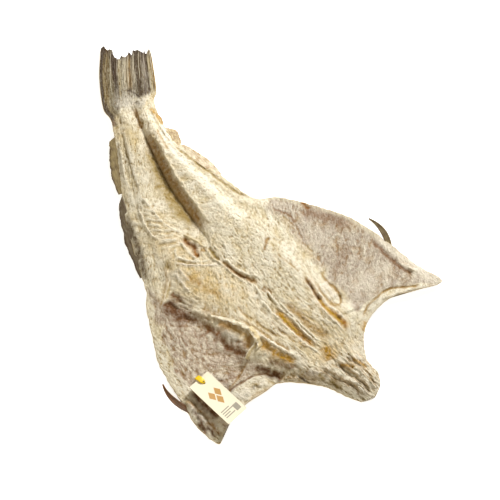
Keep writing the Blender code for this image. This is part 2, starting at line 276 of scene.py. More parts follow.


# what the flesh shows: every mark is a smooth line with a form across it (mm), and a colour.
# ridge and groove are even; a lip stands up on one side of its line and drops on the other
# (side 1 is towards the fish's right on a line drawn from tail to neck); a flat mark only paints: most are
# stains, a few are painted shade or painted light
marks = {
    # tail fin and tail root
    "finFold": groove([(50, 354), (40, 340), (32, 326), (26, 312), (20, 298)], 2.6, 1.6, "dark", 0.85, 3.6),
    "rootArch": ridge([(-6, 259), (4, 268), (14, 270), (24, 264), (27, 256)], 8, 2.2, "grey", 0.8, 10),
    "rootArchLine": groove([(24, 280), (30, 272), (34, 262), (34, 252)], 1.2, 1.6, "dark", 0.95, 1.2),
    "rootPatch": ridge([(24, 249), (31, 244), (37, 238)], 7, 2.0, "grey", 0.7, 8),
    "rootBase": groove([(16, 250), (22, 252), (29, 249)], 1.6, 1.4, "brown", 0.6, 1.6),
    "rootPit": groove([(16, 246), (13, 234), (9, 220), (4, 204)], 2.6, 1.4, "ochre", 0.9, 3.6),
    "rootLeftDark": stainOrLightMark([(-22, 268), (-22, 252), (-27, 236)], "finBrown", 0.7, 5),
    "rootYellow": stainOrLightMark([(-14, 222), (-20, 208), (-27, 190)], "straw", 0.55, 8),
    "rootWebStain": stainOrLightMark([(35, 230), (38, 216), (38, 202), (35, 194)], "amber", 0.85, 3.4),
    "rootPale": stainOrLightMark([(-2, 262), (10, 260), (24, 246), (34, 238)], "grey", 0.8, 11),
    "rootBrownLeft": stainOrLightMark([(-24, 272), (-24, 256), (-30, 238)], "brown", 0.75, 4),
    # tail: spine groove and its walls
    "spineLine": groove([(3, 198), (-4, 172), (-9, 148), (-14, 125), (-18, 100), (-20, 75), (-22, 50),
                         (-21, 28), (-19, 8)], 1.6, 1.6, "redBrown", 0.8, 1.8),
    "spineWallStain": stainOrLightMark([(9, 205), (4, 180), (-1, 158), (-7, 135), (-11, 110), (-14, 85), (-16, 60),
                             (-17, 38), (-18, 20), (-20, 2)], "ochre", 0.9, 7.5),
    # painted shadow: the right ridge's shadow on the groove's left slope
    "spineLeftStain": stainOrLightMark([(-8, 188), (-16, 152), (-21, 124), (-25, 96), (-28, 66), (-29, 40), (-26, 16)],
                            "olive", 0.9, 8),
    "spineWallSpeckle": ridge([(12, 200), (9, 170), (4, 140), (-1, 112), (-3, 84), (-4, 56), (-7, 30),
                               (-11, 10)], 2.4, 2.0, "straw", 0.55, 2.4, beads=1.2, wander=2.6),
    "spineWallLip": lip([(13, 190), (9, 160), (1, 132), (-4, 108), (-6, 82), (-6, 58), (-8, 34), (-12, 14)],
                        1, 7, 2.6, "bright", 0.35, 4, inkAt=2.5, wander=2.2),
    # pale crest of the ridge, with a painted highlight along it
    "rightCrest": ridge([(22, 196), (22, 160), (23, 120), (28, 80), (32, 40), (35, 0), (36, -30)],
                        9, 2.4, "bright", 0.75, 9),
    "rightWhiteLine": ridge([(33, 196), (29, 180), (27, 164), (26, 146), (28, 126), (31, 108)],
                            2.4, 2.6, "white", 0.8, 2.6),
    "rightBrownLine": groove([(24, 196), (20, 180), (17, 164), (14, 148)], 2.2, 1.4, "tan", 0.6, 2.4),
    "rightSideGroove": groove([(27, 160), (31, 142), (36, 122), (42, 100), (48, 76), (54, 52), (62, 28),
                               (71, 6)], 2.4, 1.8, "olive", 0.9, 3.0),
    "rightSideRim": ridge([(35, 165), (39, 148), (45, 124), (51, 99), (56, 70), (62, 44), (70, 16)],
                          2.6, 1.8, "straw", 0.5, 2.6),
    # tail: the left fillet
    "leftLong1": ridge([(-33, 226), (-47, 197), (-60, 172), (-69, 150), (-78, 126), (-88, 98), (-95, 70)],
                       2.4, 1.3, "bright", 0.4, 2.4),
    "leftLong2": ridge([(-18, 232), (-31, 203), (-42, 176), (-52, 150), (-60, 124)],
                       2.2, 1.1, "bright", 0.3, 2.4),
    "leftLong3": groove([(-26, 222), (-38, 196), (-48, 170), (-58, 146), (-66, 118)],
                        1.6, 1.2, "olive", 0.5, 1.6),
    "leftWeb1": ridge([(-80, 110), (-84, 92), (-89, 74), (-91, 54), (-84, 38), (-72, 27), (-60, 20)],
                      2.0, 1.8, "bright", 0.5, 2.2),
    "leftWeb2": ridge([(-70, 122), (-66, 100), (-66, 76), (-64, 54), (-58, 38), (-48, 24)],
                      2.2, 1.8, "bright", 0.35, 2.2),
    "leftWeb3": ridge([(-100, 66), (-96, 44), (-99, 26), (-103, 10)], 2.4, 1.2, "straw", 0.4, 2.4),
    "skinStrip": stainOrLightMark([(-108, 118), (-108, 98), (-113, 78), (-119, 58), (-127, 38), (-136, 18),
                        (-145, -4)], "finBrown", 0.9, 7.5),
    "skinStripFoot": stainOrLightMark([(-147, -4), (-150, -18), (-149, -32), (-143, -40)], "redBrown", 0.55, 4.5),
    # where the fillet ends and the belly begins
    "tongueLip": lip([(-104, 4), (-108, -10), (-116, -22), (-127, -32), (-140, -42), (-154, -52)],
                     -1, 4, 2.0, "tan", 0.6, 2.6, inkAt=2.5, wander=1.5),
    "tongueStain": groove([(-96, 8), (-100, 0), (-106, -8)], 3.2, 1.2, "olive", 0.8, 5),
    "whiteVeil": stainOrLightMark([(-96, -12), (-96, -28), (-94, -44)], "grey", 0.5, 11),
    "cavityMain": groove([(-59, 21), (-56, 13), (-53, 5), (-51, -4), (-54, -13), (-54, -24)],
                         4.0, 3.4, "deepAmber", 0.95, 4.8, wander=2.0),
    "cavityMainDark": groove([(-55, 12), (-52, 2), (-50, -9)], 2.4, 1.6, "redBrown", 0.75, 2.6),
    "cavityMainLeft": ridge([(-66, 22), (-62, 8), (-61, -4), (-61, -16), (-58, -29)],
                            2.6, 2.6, "white", 0.6, 2.6, beads=0.7),
    "cavityMainRight": ridge([(-53, 25), (-47, 16), (-43, 6), (-40, -6), (-37, -14)],
                             2.6, 2.4, "straw", 0.6, 2.6, beads=0.7),
    "cavitySide": groove([(-46, -13), (-41, -17), (-37, -13)], 3.6, 2.4, "tan", 0.85, 4.6),
    "cavityLow": groove([(-33, -18), (-32, -28), (-34, -38), (-29, -48)],
                        3.2, 3.0, "olive", 0.9, 4.6, wander=2.4),
    "tendon": ridge([(-88, -8), (-80, -18), (-69, -28), (-57, -38), (-46, -46), (-36, -53)],
                    2.2, 1.8, "white", 0.75, 2.6),
    "tendonUpper": ridge([(-84, 2), (-76, -10), (-66, -22), (-54, -31), (-42, -38)],
                         2.0, 1.6, "bright", 0.6, 2.2),
    "tendonShade": groove([(-86, 0), (-80, -12), (-72, -22), (-62, -30)], 1.8, 1.4, "olive", 0.7, 2.0),
    "veilLeft": ridge([(-101, -16), (-100, -30), (-101, -46), (-98, -60)], 2.0, 1.6, "white", 0.6, 2.4),
    "veilRight": ridge([(-90, -16), (-91, -30), (-90, -46)], 2.0, 1.4, "white", 0.5, 2.4),
    "cavityLip": ridge([(-36, -10), (-37, -24), (-39, -36), (-35, -48), (-30, -57)],
                       2.2, 2.2, "bright", 0.55, 2.2, beads=0.9),
    "amberPatchA": stainOrLightMark([(-84, -34), (-86, -44), (-80, -54), (-84, -64)], "tan", 0.9, 4.6),
    "amberPatchB": stainOrLightMark([(-76, -60), (-78, -72), (-70, -84), (-68, -94)], "tan", 0.7, 4.2),
    "veilFold": ridge([(-74, 14), (-80, 4), (-84, -6)], 2.2, 1.8, "bright", 0.45, 2.2),
    # the torn line along the back
    "backShade": groove([(-32, -46), (-28, -60), (-25, -76), (-19, -92), (-12, -106), (-4, -114)],
                        2.6, 1.8, "ochre", 0.95, 3.4, wander=1.5),
    "backShadeDeep": groove([(-27, -62), (-24, -76), (-18, -92), (-11, -104)],
                            1.8, 0.8, "brown", 0.55, 2.0),
    "backLip": ridge([(-28, -44), (-23, -58), (-20, -74), (-14, -88), (-7, -99), (1, -110)],
                     1.9, 1.8, "bright", 0.7, 2.2, wander=1.2, beads=1.3),
    "backLipLeft": ridge([(-35, -50), (-32, -64), (-29, -80), (-24, -94), (-17, -108), (-12, -114)],
                         1.8, 1.4, "bright", 0.5, 2.0, wander=1.2, beads=1.2),
    "backBrown": groove([(-8, -122), (-4, -132), (-1, -142)], 3, 1.4, "ochre", 0.85, 4),
    "backBranch": ridge([(-14, -110), (-17, -130), (-20, -148), (-19, -168)],
                        2.0, 1.8, "bright", 0.5, 2.0, beads=1.0, wander=1.2),
    # sinews over the backbone's place
    "sinew": groove([(-15, -160), (-12, -175), (-10, -195), (-8, -215), (-4, -235), (-1, -250)],
                    4.5, 1.4, "amber", 1.0, 6.5),
    "sinewDeep": stainOrLightMark([(-10, -186), (-6, -206), (-4, -226), (-1, -244)], "deepAmber", 0.55, 3.0),
    "sinewYellow": ridge([(-12, -178), (-9, -198), (-7, -216)], 1.8, 0.8, "yellow", 0.75, 2.0),
    "sinewLeft": ridge([(-20, -158), (-18, -180), (-15, -204), (-10, -230), (-5, -248), (2, -266)],
                       2.4, 1.8, "bright", 0.65, 2.6, beads=0.7, wander=1.2),
    "sinewMiddle": ridge([(-8, -118), (-4, -142), (-5, -166), (-1, -190), (1, -214), (4, -236), (10, -256)],
                         2.0, 1.8, "bright", 0.7, 2.2, beads=0.8, wander=1.2),
    "sinewThin": ridge([(-1, -150), (1, -176), (4, -202), (7, -228), (12, -252)],
                       1.9, 1.6, "bright", 0.6, 2, wander=1.2),
    "sinewRight": groove([(6, -160), (8, -180), (11, -200), (15, -220), (21, -238), (29, -252)],
                         4.0, 1.4, "tan", 0.8, 6.0),
    "yellowSpot": ridge([(14, -257), (9, -268), (4, -280)], 5, 1.8, "amber", 1.0, 7.5),
    # right loin
    "curvedMark": groove([(31, -80), (40, -72), (48, -66), (54, -70)], 2.4, 1.8, "ochre", 0.75, 2.8),
    "loinLine": groove([(46, -92), (48, -108), (52, -126), (56, -142)], 1.8, 1.4, "tan", 0.5, 1.8),
    "fissure": groove([(57, -146), (56, -160), (54, -176), (52, -194), (52, -212), (55, -230), (57, -246),
                       (54, -262)], 3.2, 3.0, "amber", 1.0, 6.5, wander=1.6),
    "fissureDeep": stainOrLightMark([(54, -212), (56, -228), (59, -244), (56, -258)], "deepAmber", 0.75, 2.4),
    "fissureDark": groove([(57, -150), (55, -166), (53, -182), (52, -196)],
                          1.8, 1.4, "redBrown", 0.85, 2.2),
    "fissureOrange": stainOrLightMark([(52, -206), (54, -224), (57, -242)], "yellow", 0.5, 3.6),
    "fissureRight": ridge([(61, -146), (61, -164), (59, -184), (58, -206), (62, -226), (64, -248)],
                          2.6, 2.4, "white", 0.6, 3, beads=0.8, wander=1.2),
    "fissureLeft": ridge([(51, -148), (50, -170), (47, -194), (46, -214), (49, -238), (50, -258)],
                         2.4, 1.6, "bright", 0.4, 3, wander=1.2),
    "lens": ridge([(75, -172), (74, -190), (73, -206)], 9, 2.6, "white", 0.9, 9),
    "lensRing": groove([(69, -166), (63, -182), (65, -202), (73, -216), (84, -210), (87, -190), (82, -172)],
                       1.6, 1.4, "tan", 0.75, 1.7, wander=1.6),
    "lensCrease": groove([(71, -178), (73, -192), (70, -207)], 1.4, 1.2, "straw", 0.5, 1.4),
    "lensRight": groove([(86, -156), (83, -172), (85, -190), (85, -206), (79, -218)],
                        2.2, 2.2, "tan", 0.6, 2.2),
    "lensFoot": groove([(61, -206), (68, -215), (77, -220)], 2.4, 1.6, "tan", 0.6, 3),
    "membraneEdge": lip([(86, -34), (91, -52), (96, -74), (92, -94), (90, -112), (94, -128), (92, -144),
                         (86, -158)], -1, 10, 1.2, "tan", 0.35, 3, inkAt=2, wander=4.0),
    # right flap
    "edgeNick": groove([(133, -46), (135, -56), (136, -66)], 3, 1.4, "deepAmber", 0.9, 4.5),
    "flapBrownEdge": stainOrLightMark([(118, -58), (132, -70), (148, -92), (162, -112), (174, -130)],
                           "brown", 0.6, 10),
    "flapShade": stainOrLightMark([(100, -178), (116, -164), (136, -154), (150, -158)], "brown", 0.4, 10),
    "flapPale": stainOrLightMark([(100, -206), (130, -212), (160, -214), (180, -232)], "white", 0.45, 17),
    "flapPaleUpper": stainOrLightMark([(104, -92), (116, -104), (124, -124)], "white", 0.35, 12),
    "flapCreaseUpper": groove([(90, -30), (98, -44), (104, -58), (100, -72)],
                              2, 1.2, "brown", 0.5, 2.6, wander=3.0),
    "tipWhite": stainOrLightMark([(202, -222), (210, -246), (218, -272), (226, -286)], "white", 0.85, 10),
    "flapFold": groove([(184, -164), (183, -182), (184, -198), (188, -212), (194, -226)],
                       2.4, 1.4, "redBrown", 0.8, 3.2, wander=2.6),
    "foldBrown": stainOrLightMark([(187, -162), (184, -182), (186, -202), (191, -222), (198, -240)],
                       "brown", 0.5, 8, wander=2.0),
    "flapFoldA": groove([(188, -216), (191, -232), (197, -250)], 1.8, 1.4, "brown", 0.8, 2.2, wander=1.5),
    "flapFoldB": groove([(196, -216), (202, -230), (206, -246)], 1.8, 1.2, "tan", 0.8, 2.4, wander=1.5),
    "flapFoldLip": ridge([(190, -160), (192, -182), (195, -204), (201, -224), (208, -248), (216, -272)],
                         5.5, 2.0, "white", 0.7, 6.5),
    "flapFoldInner": ridge([(190, -214), (195, -228), (201, -242), (207, -256)], 2, 1.6, "bright", 0.4, 2),
    "frontLine": groove([(88, -261), (97, -251), (110, -246), (130, -244), (150, -244), (166, -252),
                         (182, -263), (200, -275)], 2.0, 2.2, "tan", 0.75, 2.0),
    "frontBand": ridge([(96, -259), (114, -253), (138, -251), (160, -260), (186, -273), (210, -284)],
                       4.5, 2.2, "bright", 0.6, 5),
    "frontBandUnder": stainOrLightMark([(150, -258), (172, -268), (197, -279)], "olive", 0.6, 2.2),
    "orangeSpot": stainOrLightMark([(76, -274), (85, -267), (92, -262)], "amber", 0.75, 4),
    # left flap
    "brownHollowA": groove([(-140, -44), (-137, -56), (-131, -68)],
                           5.5, 2.2, "redBrown", 0.95, 9, wander=2.5),
    "pocketFill": ridge([(-108, -120), (-100, -142), (-92, -164), (-86, -186), (-84, -206)],
                        19, 2.5, "leftMauve", 0.1, 10),
    "brownHollowWide": stainOrLightMark([(-144, -46), (-137, -60), (-130, -74), (-122, -88)], "redBrown", 0.9, 15),
    "brownHollowB": groove([(-124, -38), (-121, -50), (-119, -62)], 3.4, 1.8, "brown", 0.8, 5),
    "brownChain": groove([(-146, -76), (-136, -80), (-127, -90), (-118, -104)],
                         3.4, 1.8, "redBrown", 0.75, 7, wander=2.4),
    "slantFoldA": ridge([(-132, -52), (-123, -72), (-113, -92), (-105, -112), (-98, -126)],
                        1.8, 2.0, "bright", 0.6, 2.0),
    "slantFoldB": ridge([(-126, -54), (-117, -74), (-108, -94), (-98, -112)], 1.8, 1.8, "bright", 0.5, 2.0),
    "slantFoldC": groove([(-129, -58), (-120, -78), (-111, -96), (-102, -116)],
                         1.6, 1.6, "brown", 0.75, 1.8),
    "darkBand": groove([(-116, -104), (-111, -122), (-107, -138), (-106, -154), (-104, -168), (-98, -182),
                        (-92, -196)], 3.4, 1.6, "brown", 0.9, 6.5, wander=2.0),
    "valleyBrown": stainOrLightMark([(-108, -88), (-97, -106), (-87, -126), (-77, -146), (-71, -160)],
                         "ochre", 0.6, 8, wander=3.0),
    "whiteSpotA": ridge([(-117, -126), (-119, -140)], 4.0, 1.4, "white", 0.9, 4.2),
    "whiteSpotB": ridge([(-113, -148), (-116, -162)], 4.0, 1.2, "white", 0.8, 3.6),
    "greySheet": ridge([(-98, -138), (-93, -152), (-87, -166)], 6, 1.6, "grey", 0.85, 7),
    "sheetShade": groove([(-96, -120), (-88, -136), (-80, -152), (-74, -166), (-80, -182), (-90, -190)],
                         3, 1.2, "tan", 0.75, 4.5),
    "sheetAmber": stainOrLightMark([(-72, -168), (-76, -178), (-84, -185)], "ochre", 0.9, 5.5),
    "bellyPad": ridge([(-94, -197), (-82, -200), (-72, -202), (-62, -200)], 6, 2.4, "straw", 0.6, 7),
    "bellyPadShade": groove([(-92, -212), (-86, -222), (-80, -234), (-76, -246)],
                            4, 2.0, "redBrown", 0.8, 6),
    "bellyPadAmber": stainOrLightMark([(-56, -176), (-55, -192), (-52, -206)], "amber", 0.75, 4.5),
    "loinEdgeLip": ridge([(-76, -138), (-70, -148), (-64, -162), (-58, -178), (-50, -196), (-43, -212)],
                         2.2, 2.2, "bright", 0.6, 2.4, wander=2.4, beads=1.2),
    "loinEdgeUpper": ridge([(-112, -84), (-102, -102), (-90, -120), (-80, -134)],
                           2.6, 1.8, "cream", 0.5, 3, beads=1.3, wander=3.2),
    "rollShade": groove([(-64, -188), (-59, -204), (-54, -220), (-46, -236), (-36, -250)],
                        3.2, 1.6, "amber", 1.0, 7.0, wander=1.2),
    "roll": ridge([(-60, -164), (-55, -182), (-50, -200), (-42, -220), (-34, -238), (-22, -254)],
                  3.0, 2.4, "bright", 0.55, 3.2, beads=0.7, wander=1.2),
    "rollRight": groove([(-54, -184), (-47, -200), (-40, -216), (-34, -230)], 2.4, 1.2, "tan", 0.75, 3),
    "loinCordShade": groove([(-68, -136), (-61, -152), (-55, -168), (-49, -184), (-43, -198)],
                            1.8, 1.2, "tan", 0.7, 2.2),
    # pale belly pad, painted lighter against the shade of the slope it lies on
    "padLight": stainOrLightMark([(-94, -198), (-80, -206), (-68, -210), (-60, -218)], "bright", 0.7, 7),
    "slopeBrown": stainOrLightMark([(-70, -216), (-62, -232), (-52, -246), (-38, -258)], "brown", 0.6, 5),
    "slopeAmber": stainOrLightMark([(-96, -124), (-90, -134), (-82, -144)], "ochre", 0.7, 6),
    "loinSlantA": groove([(-48, -150), (-46, -170), (-40, -188), (-32, -206)], 2.2, 1.6, "tan", 0.5, 2.2),
    "loinSlantB": groove([(-30, -170), (-28, -190), (-23, -210), (-18, -228)], 2.2, 1.5, "tan", 0.45, 2.2),
    "loinSlantC": groove([(-56, -120), (-55, -140), (-50, -156)], 2.2, 1.6, "tan", 0.5, 2.2),
    "darkJunction": groove([(-76, -236), (-72, -246), (-68, -256)], 4, 2.4, "redBrown", 0.95, 7),
    "flapCrease": lip([(-92, -202), (-104, -205), (-118, -211), (-132, -215), (-148, -218)],
                      1, 5, 1.8, "tan", 0.5, 2.2, inkAt=-1.5),
    "bandEdge": groove([(-152, -217), (-130, -219), (-112, -221), (-98, -224), (-86, -232), (-78, -244)],
                       1.7, 2.0, "brown", 0.8, 1.8),
    "band": ridge([(-148, -236), (-126, -235), (-106, -238), (-88, -246)], 7, 2.4, "white", 0.5, 9),
    "bandUnder": stainOrLightMark([(-134, -248), (-112, -249), (-92, -254)], "tan", 0.5, 3),
    "bandOlive": stainOrLightMark([(-112, -230), (-107, -236), (-104, -241)], "olive", 0.8, 3.4),
    "tipPale": ridge([(-196, -222), (-192, -240), (-190, -254)], 6, 2.0, "white", 0.6, 6.5),
    "tipRoll": ridge([(-209, -184), (-208, -204), (-206, -226), (-200, -246), (-192, -258)],
                     7, 6.0, "white", 0.85, 8, beads=0.5),
    "tipLumpA": ridge([(-214, -214), (-212, -230), (-214, -246)], 5, 3.0, "cream", 0.7, 6, beads=1.0),
    "tipLumpB": ridge([(-204, -262), (-197, -268), (-188, -266)], 5, 2.0, "cream", 0.6, 6, beads=1.0),
    # pale flesh at the tip, painted lighter where the tag's shadow falls on it
    "tipLight": stainOrLightMark([(-203, -190), (-203, -214), (-200, -240), (-196, -262)], "white", 0.8, 13),
    "borderOlive": stainOrLightMark([(-208, -186), (-207, -196)], "olive", 0.7, 3),
    # brown hollow left of the tag, with the tag's shadow painted into it
    "tagHollow": groove([(-192, -180), (-190, -204), (-187, -226), (-184, -244)],
                        5, 1.0, "redBrown", 1.0, 6.5),
    "tipCrackA": groove([(-213, -206), (-208, -220), (-211, -236), (-206, -250), (-208, -264)],
                        2.6, 2.0, "redBrown", 1.0, 2.4, wander=2.5),
    "tipCrackB": groove([(-204, -232), (-199, -244), (-201, -256), (-195, -264)],
                        2.2, 1.6, "ochre", 1.0, 3, wander=2),
    "tipCrackC": groove([(-216, -226), (-214, -240), (-215, -252)], 2.2, 1.6, "brown", 0.9, 2.6, wander=2),
    "tipEdge": stainOrLightMark([(-206, -186), (-203, -204), (-200, -222), (-196, -240)], "ochre", 0.9, 2.6, wander=2),
    # neck
    "neckSide": stainOrLightMark([(-74, -250), (-56, -262), (-40, -278), (-26, -296)], "tan", 0.6, 8),
    "neckCrack": groove([(-49, -262), (-45, -276), (-36, -292)], 1.6, 1.8, "dark", 0.9, 1.5),
    # pale neck, painted lighter against the shade on its slopes
    "neckLight": stainOrLightMark([(2, -284), (10, -304), (18, -326), (24, -346)], "bright", 0.8, 22),
    "neckSwirlA": ridge([(-66, -256), (-56, -254), (-47, -259), (-50, -267), (-60, -268)],
                        2.4, 2.0, "cream", 0.6, 2.4),
    "neckSwirlB": ridge([(-40, -268), (-30, -276), (-20, -286)], 3.0, 2.0, "mauve", 0.6, 4, beads=1.0),
    "neckOlive": groove([(-23, -284), (-19, -298)], 2.4, 1.2, "olive", 0.9, 3.4),
    "neckBrown": groove([(-14, -300), (-11, -312), (-5, -324)], 4.6, 1.4, "olive", 0.9, 6),
    "neckAmberA": groove([(12, -292), (20, -302), (28, -312)], 2.6, 1.2, "amber", 0.85, 3.2),
    "neckAmberB": groove([(32, -298), (40, -310), (43, -324)], 2.4, 1.2, "amber", 0.85, 3.0),
    "collarLump": ridge([(-30, -268), (-10, -280), (8, -290)], 9, 2.2, "cream", 0.3, 9),
}
# the neck's flakes fan out from its left side to its end
flakes = {"count": 7, "start": (-22, -276), "startStep": (11, -2.5), "end": (6, -356), "endStep": (7, 0),
          "wide": 1.9, "high": 2.4}
for number in range(flakes["count"]):
    sx, sy = (flakes["start"][k] + flakes["startStep"][k] * number for k in (0, 1))
    ex, ey = (flakes["end"][k] + flakes["endStep"][k] * number for k in (0, 1))
    flakePath = [(sx, sy), (sx * 0.6 + ex * 0.4 + 4, sy * 0.6 + ey * 0.4), (ex, sy * 0.25 + ey * 0.75),
                 (ex, ey)]
    marks[f"neckFlake{number}"] = lip(flakePath, 1 if number % 2 else -1, 5, flakes["high"], "tan", 0.6,
                                      flakes["wide"], inkAt=-1.5, wander=2.0)

# short slanting ridges on the left fillet of the tail
chevrons = {"count": 8, "start": (-79, 108), "startStep": (-2.2, -11.5), "end": (-63, 78),
            "endStep": (0.6, -9.5)}
for number in range(chevrons["count"]):
    sx, sy = (chevrons["start"][k] + chevrons["startStep"][k] * number for k in (0, 1))
    ex, ey = (chevrons["end"][k] + chevrons["endStep"][k] * number for k in (0, 1))
    middle = ((sx + ex) / 2 - 1.5, (sy + ey) / 2 - 1.5)
    marks[f"chevron{number}"] = ridge([(sx, sy), middle, (ex, ey)], 2.0, 1.8, "bright", 0.5, 2.0, wander=1.4)


def wandering(path, step, wander, seed):
    line = smoothLine(path, step)
    return line + wander * np.stack([bumps(line[:, 0], line[:, 1], 9.0, seed),
                                     bumps(line[:, 0], line[:, 1], 9.0, seed + 50)], axis=1)


# signed distance from a line to every point (positive on the side of +X for a line drawn towards
# the neck), and how far along the line the nearest place is; far points keep a large distance
def besideLine(path, x, y, wander, seed, far=45.0):
    line = wandering(path, 3.0, wander, seed)
    low, high = line.min(axis=0) - far, line.max(axis=0) + far
    near = (x > low[0]) & (x < high[0]) & (y > low[1]) & (y < high[1])
    px, py = x[near][:, None], y[near][:, None]
    step = np.diff(line, axis=0)
    length = np.hypot(*step.T)
    ox, oy = px - line[None, :-1, 0], py - line[None, :-1, 1]
    share = np.clip((ox * step[:, 0] + oy * step[:, 1]) / length ** 2, 0, 1)
    gap = np.hypot(ox - share * step[:, 0], oy - share * step[:, 1])
    best = gap.argmin(axis=1)
    row = np.arange(len(best))
    side = np.sign(step[best, 0] * oy[row, best] - step[best, 1] * ox[row, best])
    start = np.concatenate([[0.0], np.cumsum(length)])
    distance = np.full(x.shape, 1e3)
    run = np.zeros(x.shape)
    distance[near] = gap[row, best] * np.where(side == 0, 1, side)
    run[near] = (start[best] + share[row, best] * length[best]) / start[-1]
    return distance, run


def hump(distance, wide):
    return np.exp(-(distance / wide) ** 2)


def paint(colour, inkName, strength):
    colour += (inks[inkName] - colour) * np.clip(strength, 0, 1)[..., None]


# surface of the dried flesh: places where it is thin skin instead of muscle, and its wrinkles
skins = {
    "rightBorder": [(250, 400), (0, 120), (-24, 86), (-55, 90), (-75, 95), (-105, 90), (-125, 96),
                    (-156, 94), (-171, 87), (-201, 89), (-231, 88), (-262, 92), (-400, 96)],
    "rightFront": [(60, -250), (87, -248), (102, -243), (147, -241), (177, -258), (202, -274), (240, -300)],
    "leftBorder": [(400, -400), (0, -170), (-40, -146), (-55, -135), (-85, -120), (-105, -112), (-125, -104),
                   (-150, -92), (-175, -80), (-200, -85), (-225, -78), (-250, -72), (-400, -60)],
    "leftFront": [(-240, -262), (-180, -262), (-150, -221), (-120, -220), (-95, -221), (-80, -231),
                  (-60, -250)],
    "leftRim": [(400, -400), (-40, -158), (-76, -172), (-126, -187), (-166, -197), (-216, -199), (-250, -186),
                (-400, -180)],
    "soft": 16.0,
}
# direction of the wrinkles in degrees from +X, size, how much longer than wide, height, and a
# middle and reach of the region (mm) that has them
wrinkleFields = [
    dict(turn=62, size=4.4, stretch=2.6, high=0.7, at=(-10, 205), reach=(50, 50)),
    dict(turn=62, size=4.6, stretch=3.0, high=0.55, at=(-75, 140), reach=(60, 90)),
    dict(turn=-48, size=5.2, stretch=3.4, high=0.75, at=(-72, 62), reach=(34, 48)),
    dict(turn=62, size=4.4, stretch=4.0, high=0.6, at=(-122, 5), reach=(30, 34)),
    dict(turn=-30, size=4.2, stretch=1.8, high=0.5, at=(15, 110), reach=(34, 110)),
    dict(turn=85, size=4.8, stretch=1.8, high=0.6, at=(25, -60), reach=(60, 80)),
    dict(turn=70, size=5.4, stretch=1.9, high=0.7, at=(-60, -95), reach=(50, 60)),
    dict(turn=-78, size=5.6, stretch=3.2, high=0.7, at=(-10, -200), reach=(70, 80)),
    dict(turn=80, size=5.0, stretch=3.2, high=0.75, at=(-172, -110), reach=(40, 80)),
    dict(turn=-42, size=5.0, stretch=3.4, high=0.6, at=(-130, -190), reach=(50, 50)),
    dict(turn=-60, size=4.6, stretch=4.0, high=0.8, at=(-118, -75), reach=(34, 40)),
    dict(turn=40, size=5.4, stretch=1.6, high=0.35, at=(140, -160), reach=(60, 90)),
    dict(turn=60, size=4.6, stretch=2.4, high=0.55, at=(100, -40), reach=(50, 44)),
    dict(turn=-80, size=5.5, stretch=3.0, high=1.0, at=(15, -320), reach=(60, 60)),
]


# areas with more of one colour: middle, reach (mm), ink, share.
# The olive area on the groove's left slope is painted shadow of the right ridge; the white area at the left
# tip is pale flesh painted lighter where the tag's shadow falls
tintAreas = [
    ((-80, -50), (26, 50), "gilt", 0.55), ((-78, 30), (22, 40), "gilt", 0.4),
    ((-32, 80), (11, 60), "olive", 0.8), ((15, -285), (34, 34), "gilt", 0.6),
    ((2, -215), (26, 44), "gilt", 0.35), ((-60, -190), (14, 40), "gilt", 0.4),
    ((-200, -225), (18, 40), "white", 0.6), ((-22, 215), (14, 30), "gilt", 0.3),
    ((-45, -90), (30, 40), "gilt", 0.3),
]


def turned(x, y, angle, stretch):
    cos, sin = math.cos(math.radians(angle)), math.sin(math.radians(angle))
    return (x * cos + y * sin) / stretch, -x * sin + y * cos


def softened(field, cells):
    # mean over a window of cells both ways
    kernel = np.hanning(2 * cells + 3)[1:-1]
    kernel /= kernel.sum()
    for axis in (0, 1):
        pad = [(cells, cells) if axis == k else (0, 0) for k in (0, 1)]
        padded = np.pad(field, pad, mode="edge")
        rows, columns = field.shape
        field = sum(weight * (padded[k:k + rows, :] if axis == 0 else padded[:, k:k + columns])
                    for k, weight in enumerate(kernel))
    return field


print("wrinkling the surface")
onFin = smoothStep((atY - 246 - 20 * np.exp(-((atX - 13) / 17) ** 2)) / 9)
edgeX = atX + 9 * roughness(atX, atY, 34, 941, 2)
edgeY = atY + 5 * roughness(atX, atY, 30, 942, 2)
rightEdge = np.interp(atY, *np.array(skins["rightBorder"][::-1]).T)
rightSkin = (smoothStep((edgeX - rightEdge) / skins["soft"] + 0.5)
             * smoothStep((edgeY - np.interp(atX, *np.array(skins["rightFront"]).T)) / 5 + 0.5))
leftSkin = (smoothStep((np.interp(atY, *np.array(skins["leftBorder"][::-1]).T) - atX) / 7 + 0.5)
            * smoothStep((atY - np.interp(atX, *np.array(skins["leftFront"]).T)) / 4 + 0.5)
            * smoothStep((edgeX - np.interp(atY, *np.array(skins["leftRim"][::-1]).T)) / 7 + 0.5)
            * (atY < 0))
skinShare = np.clip(rightSkin + leftSkin, 0, 1)
warpX = atX + 3.5 * bumps(atX, atY, 24, 901)
warpY = atY + 3.5 * bumps(atX, atY, 24, 902)
relief = roughness(warpX, warpY, 30, 11) * mix(1.3, 0.9, skinShare)
relief += roughness(warpX, warpY, 8.5, 21, 2) * mix(0.5, 0.3, skinShare)
relief += bumps(warpX, warpY, 3.6, 27) * mix(0.35, 0.15, skinShare)
weightSum = 0.25
wrinkled = 0.25 * 0.6 * wrinkles(*turned(warpX, warpY, 60, 1.3), 6.5, 31)
folded = 0.25 * bumps(*turned(warpX, warpY, 60, 2.0), 11.0, 33)
for number, field in enumerate(wrinkleFields):
    (fx, fy), (rx, ry) = field["at"], field["reach"]
    weight = np.exp(-((atX - fx) / rx) ** 2 - ((atY - fy) / ry) ** 2)
    lines = wrinkles(*turned(warpX, warpY, field["turn"], field["stretch"]), field["size"] * 1.15,
                     200 + number * 7)
    wrinkled = wrinkled + weight * field["high"] * 2.2 * lines
    folds = bumps(*turned(warpX, warpY, field["turn"], field["stretch"] * 1.7), field["size"] * 2.6,
                  500 + number * 5)
    folded = folded + weight * folds
    weightSum = weightSum + weight
relief += wrinkled / weightSum
folded /= weightSum
relief += 1.5 * folded

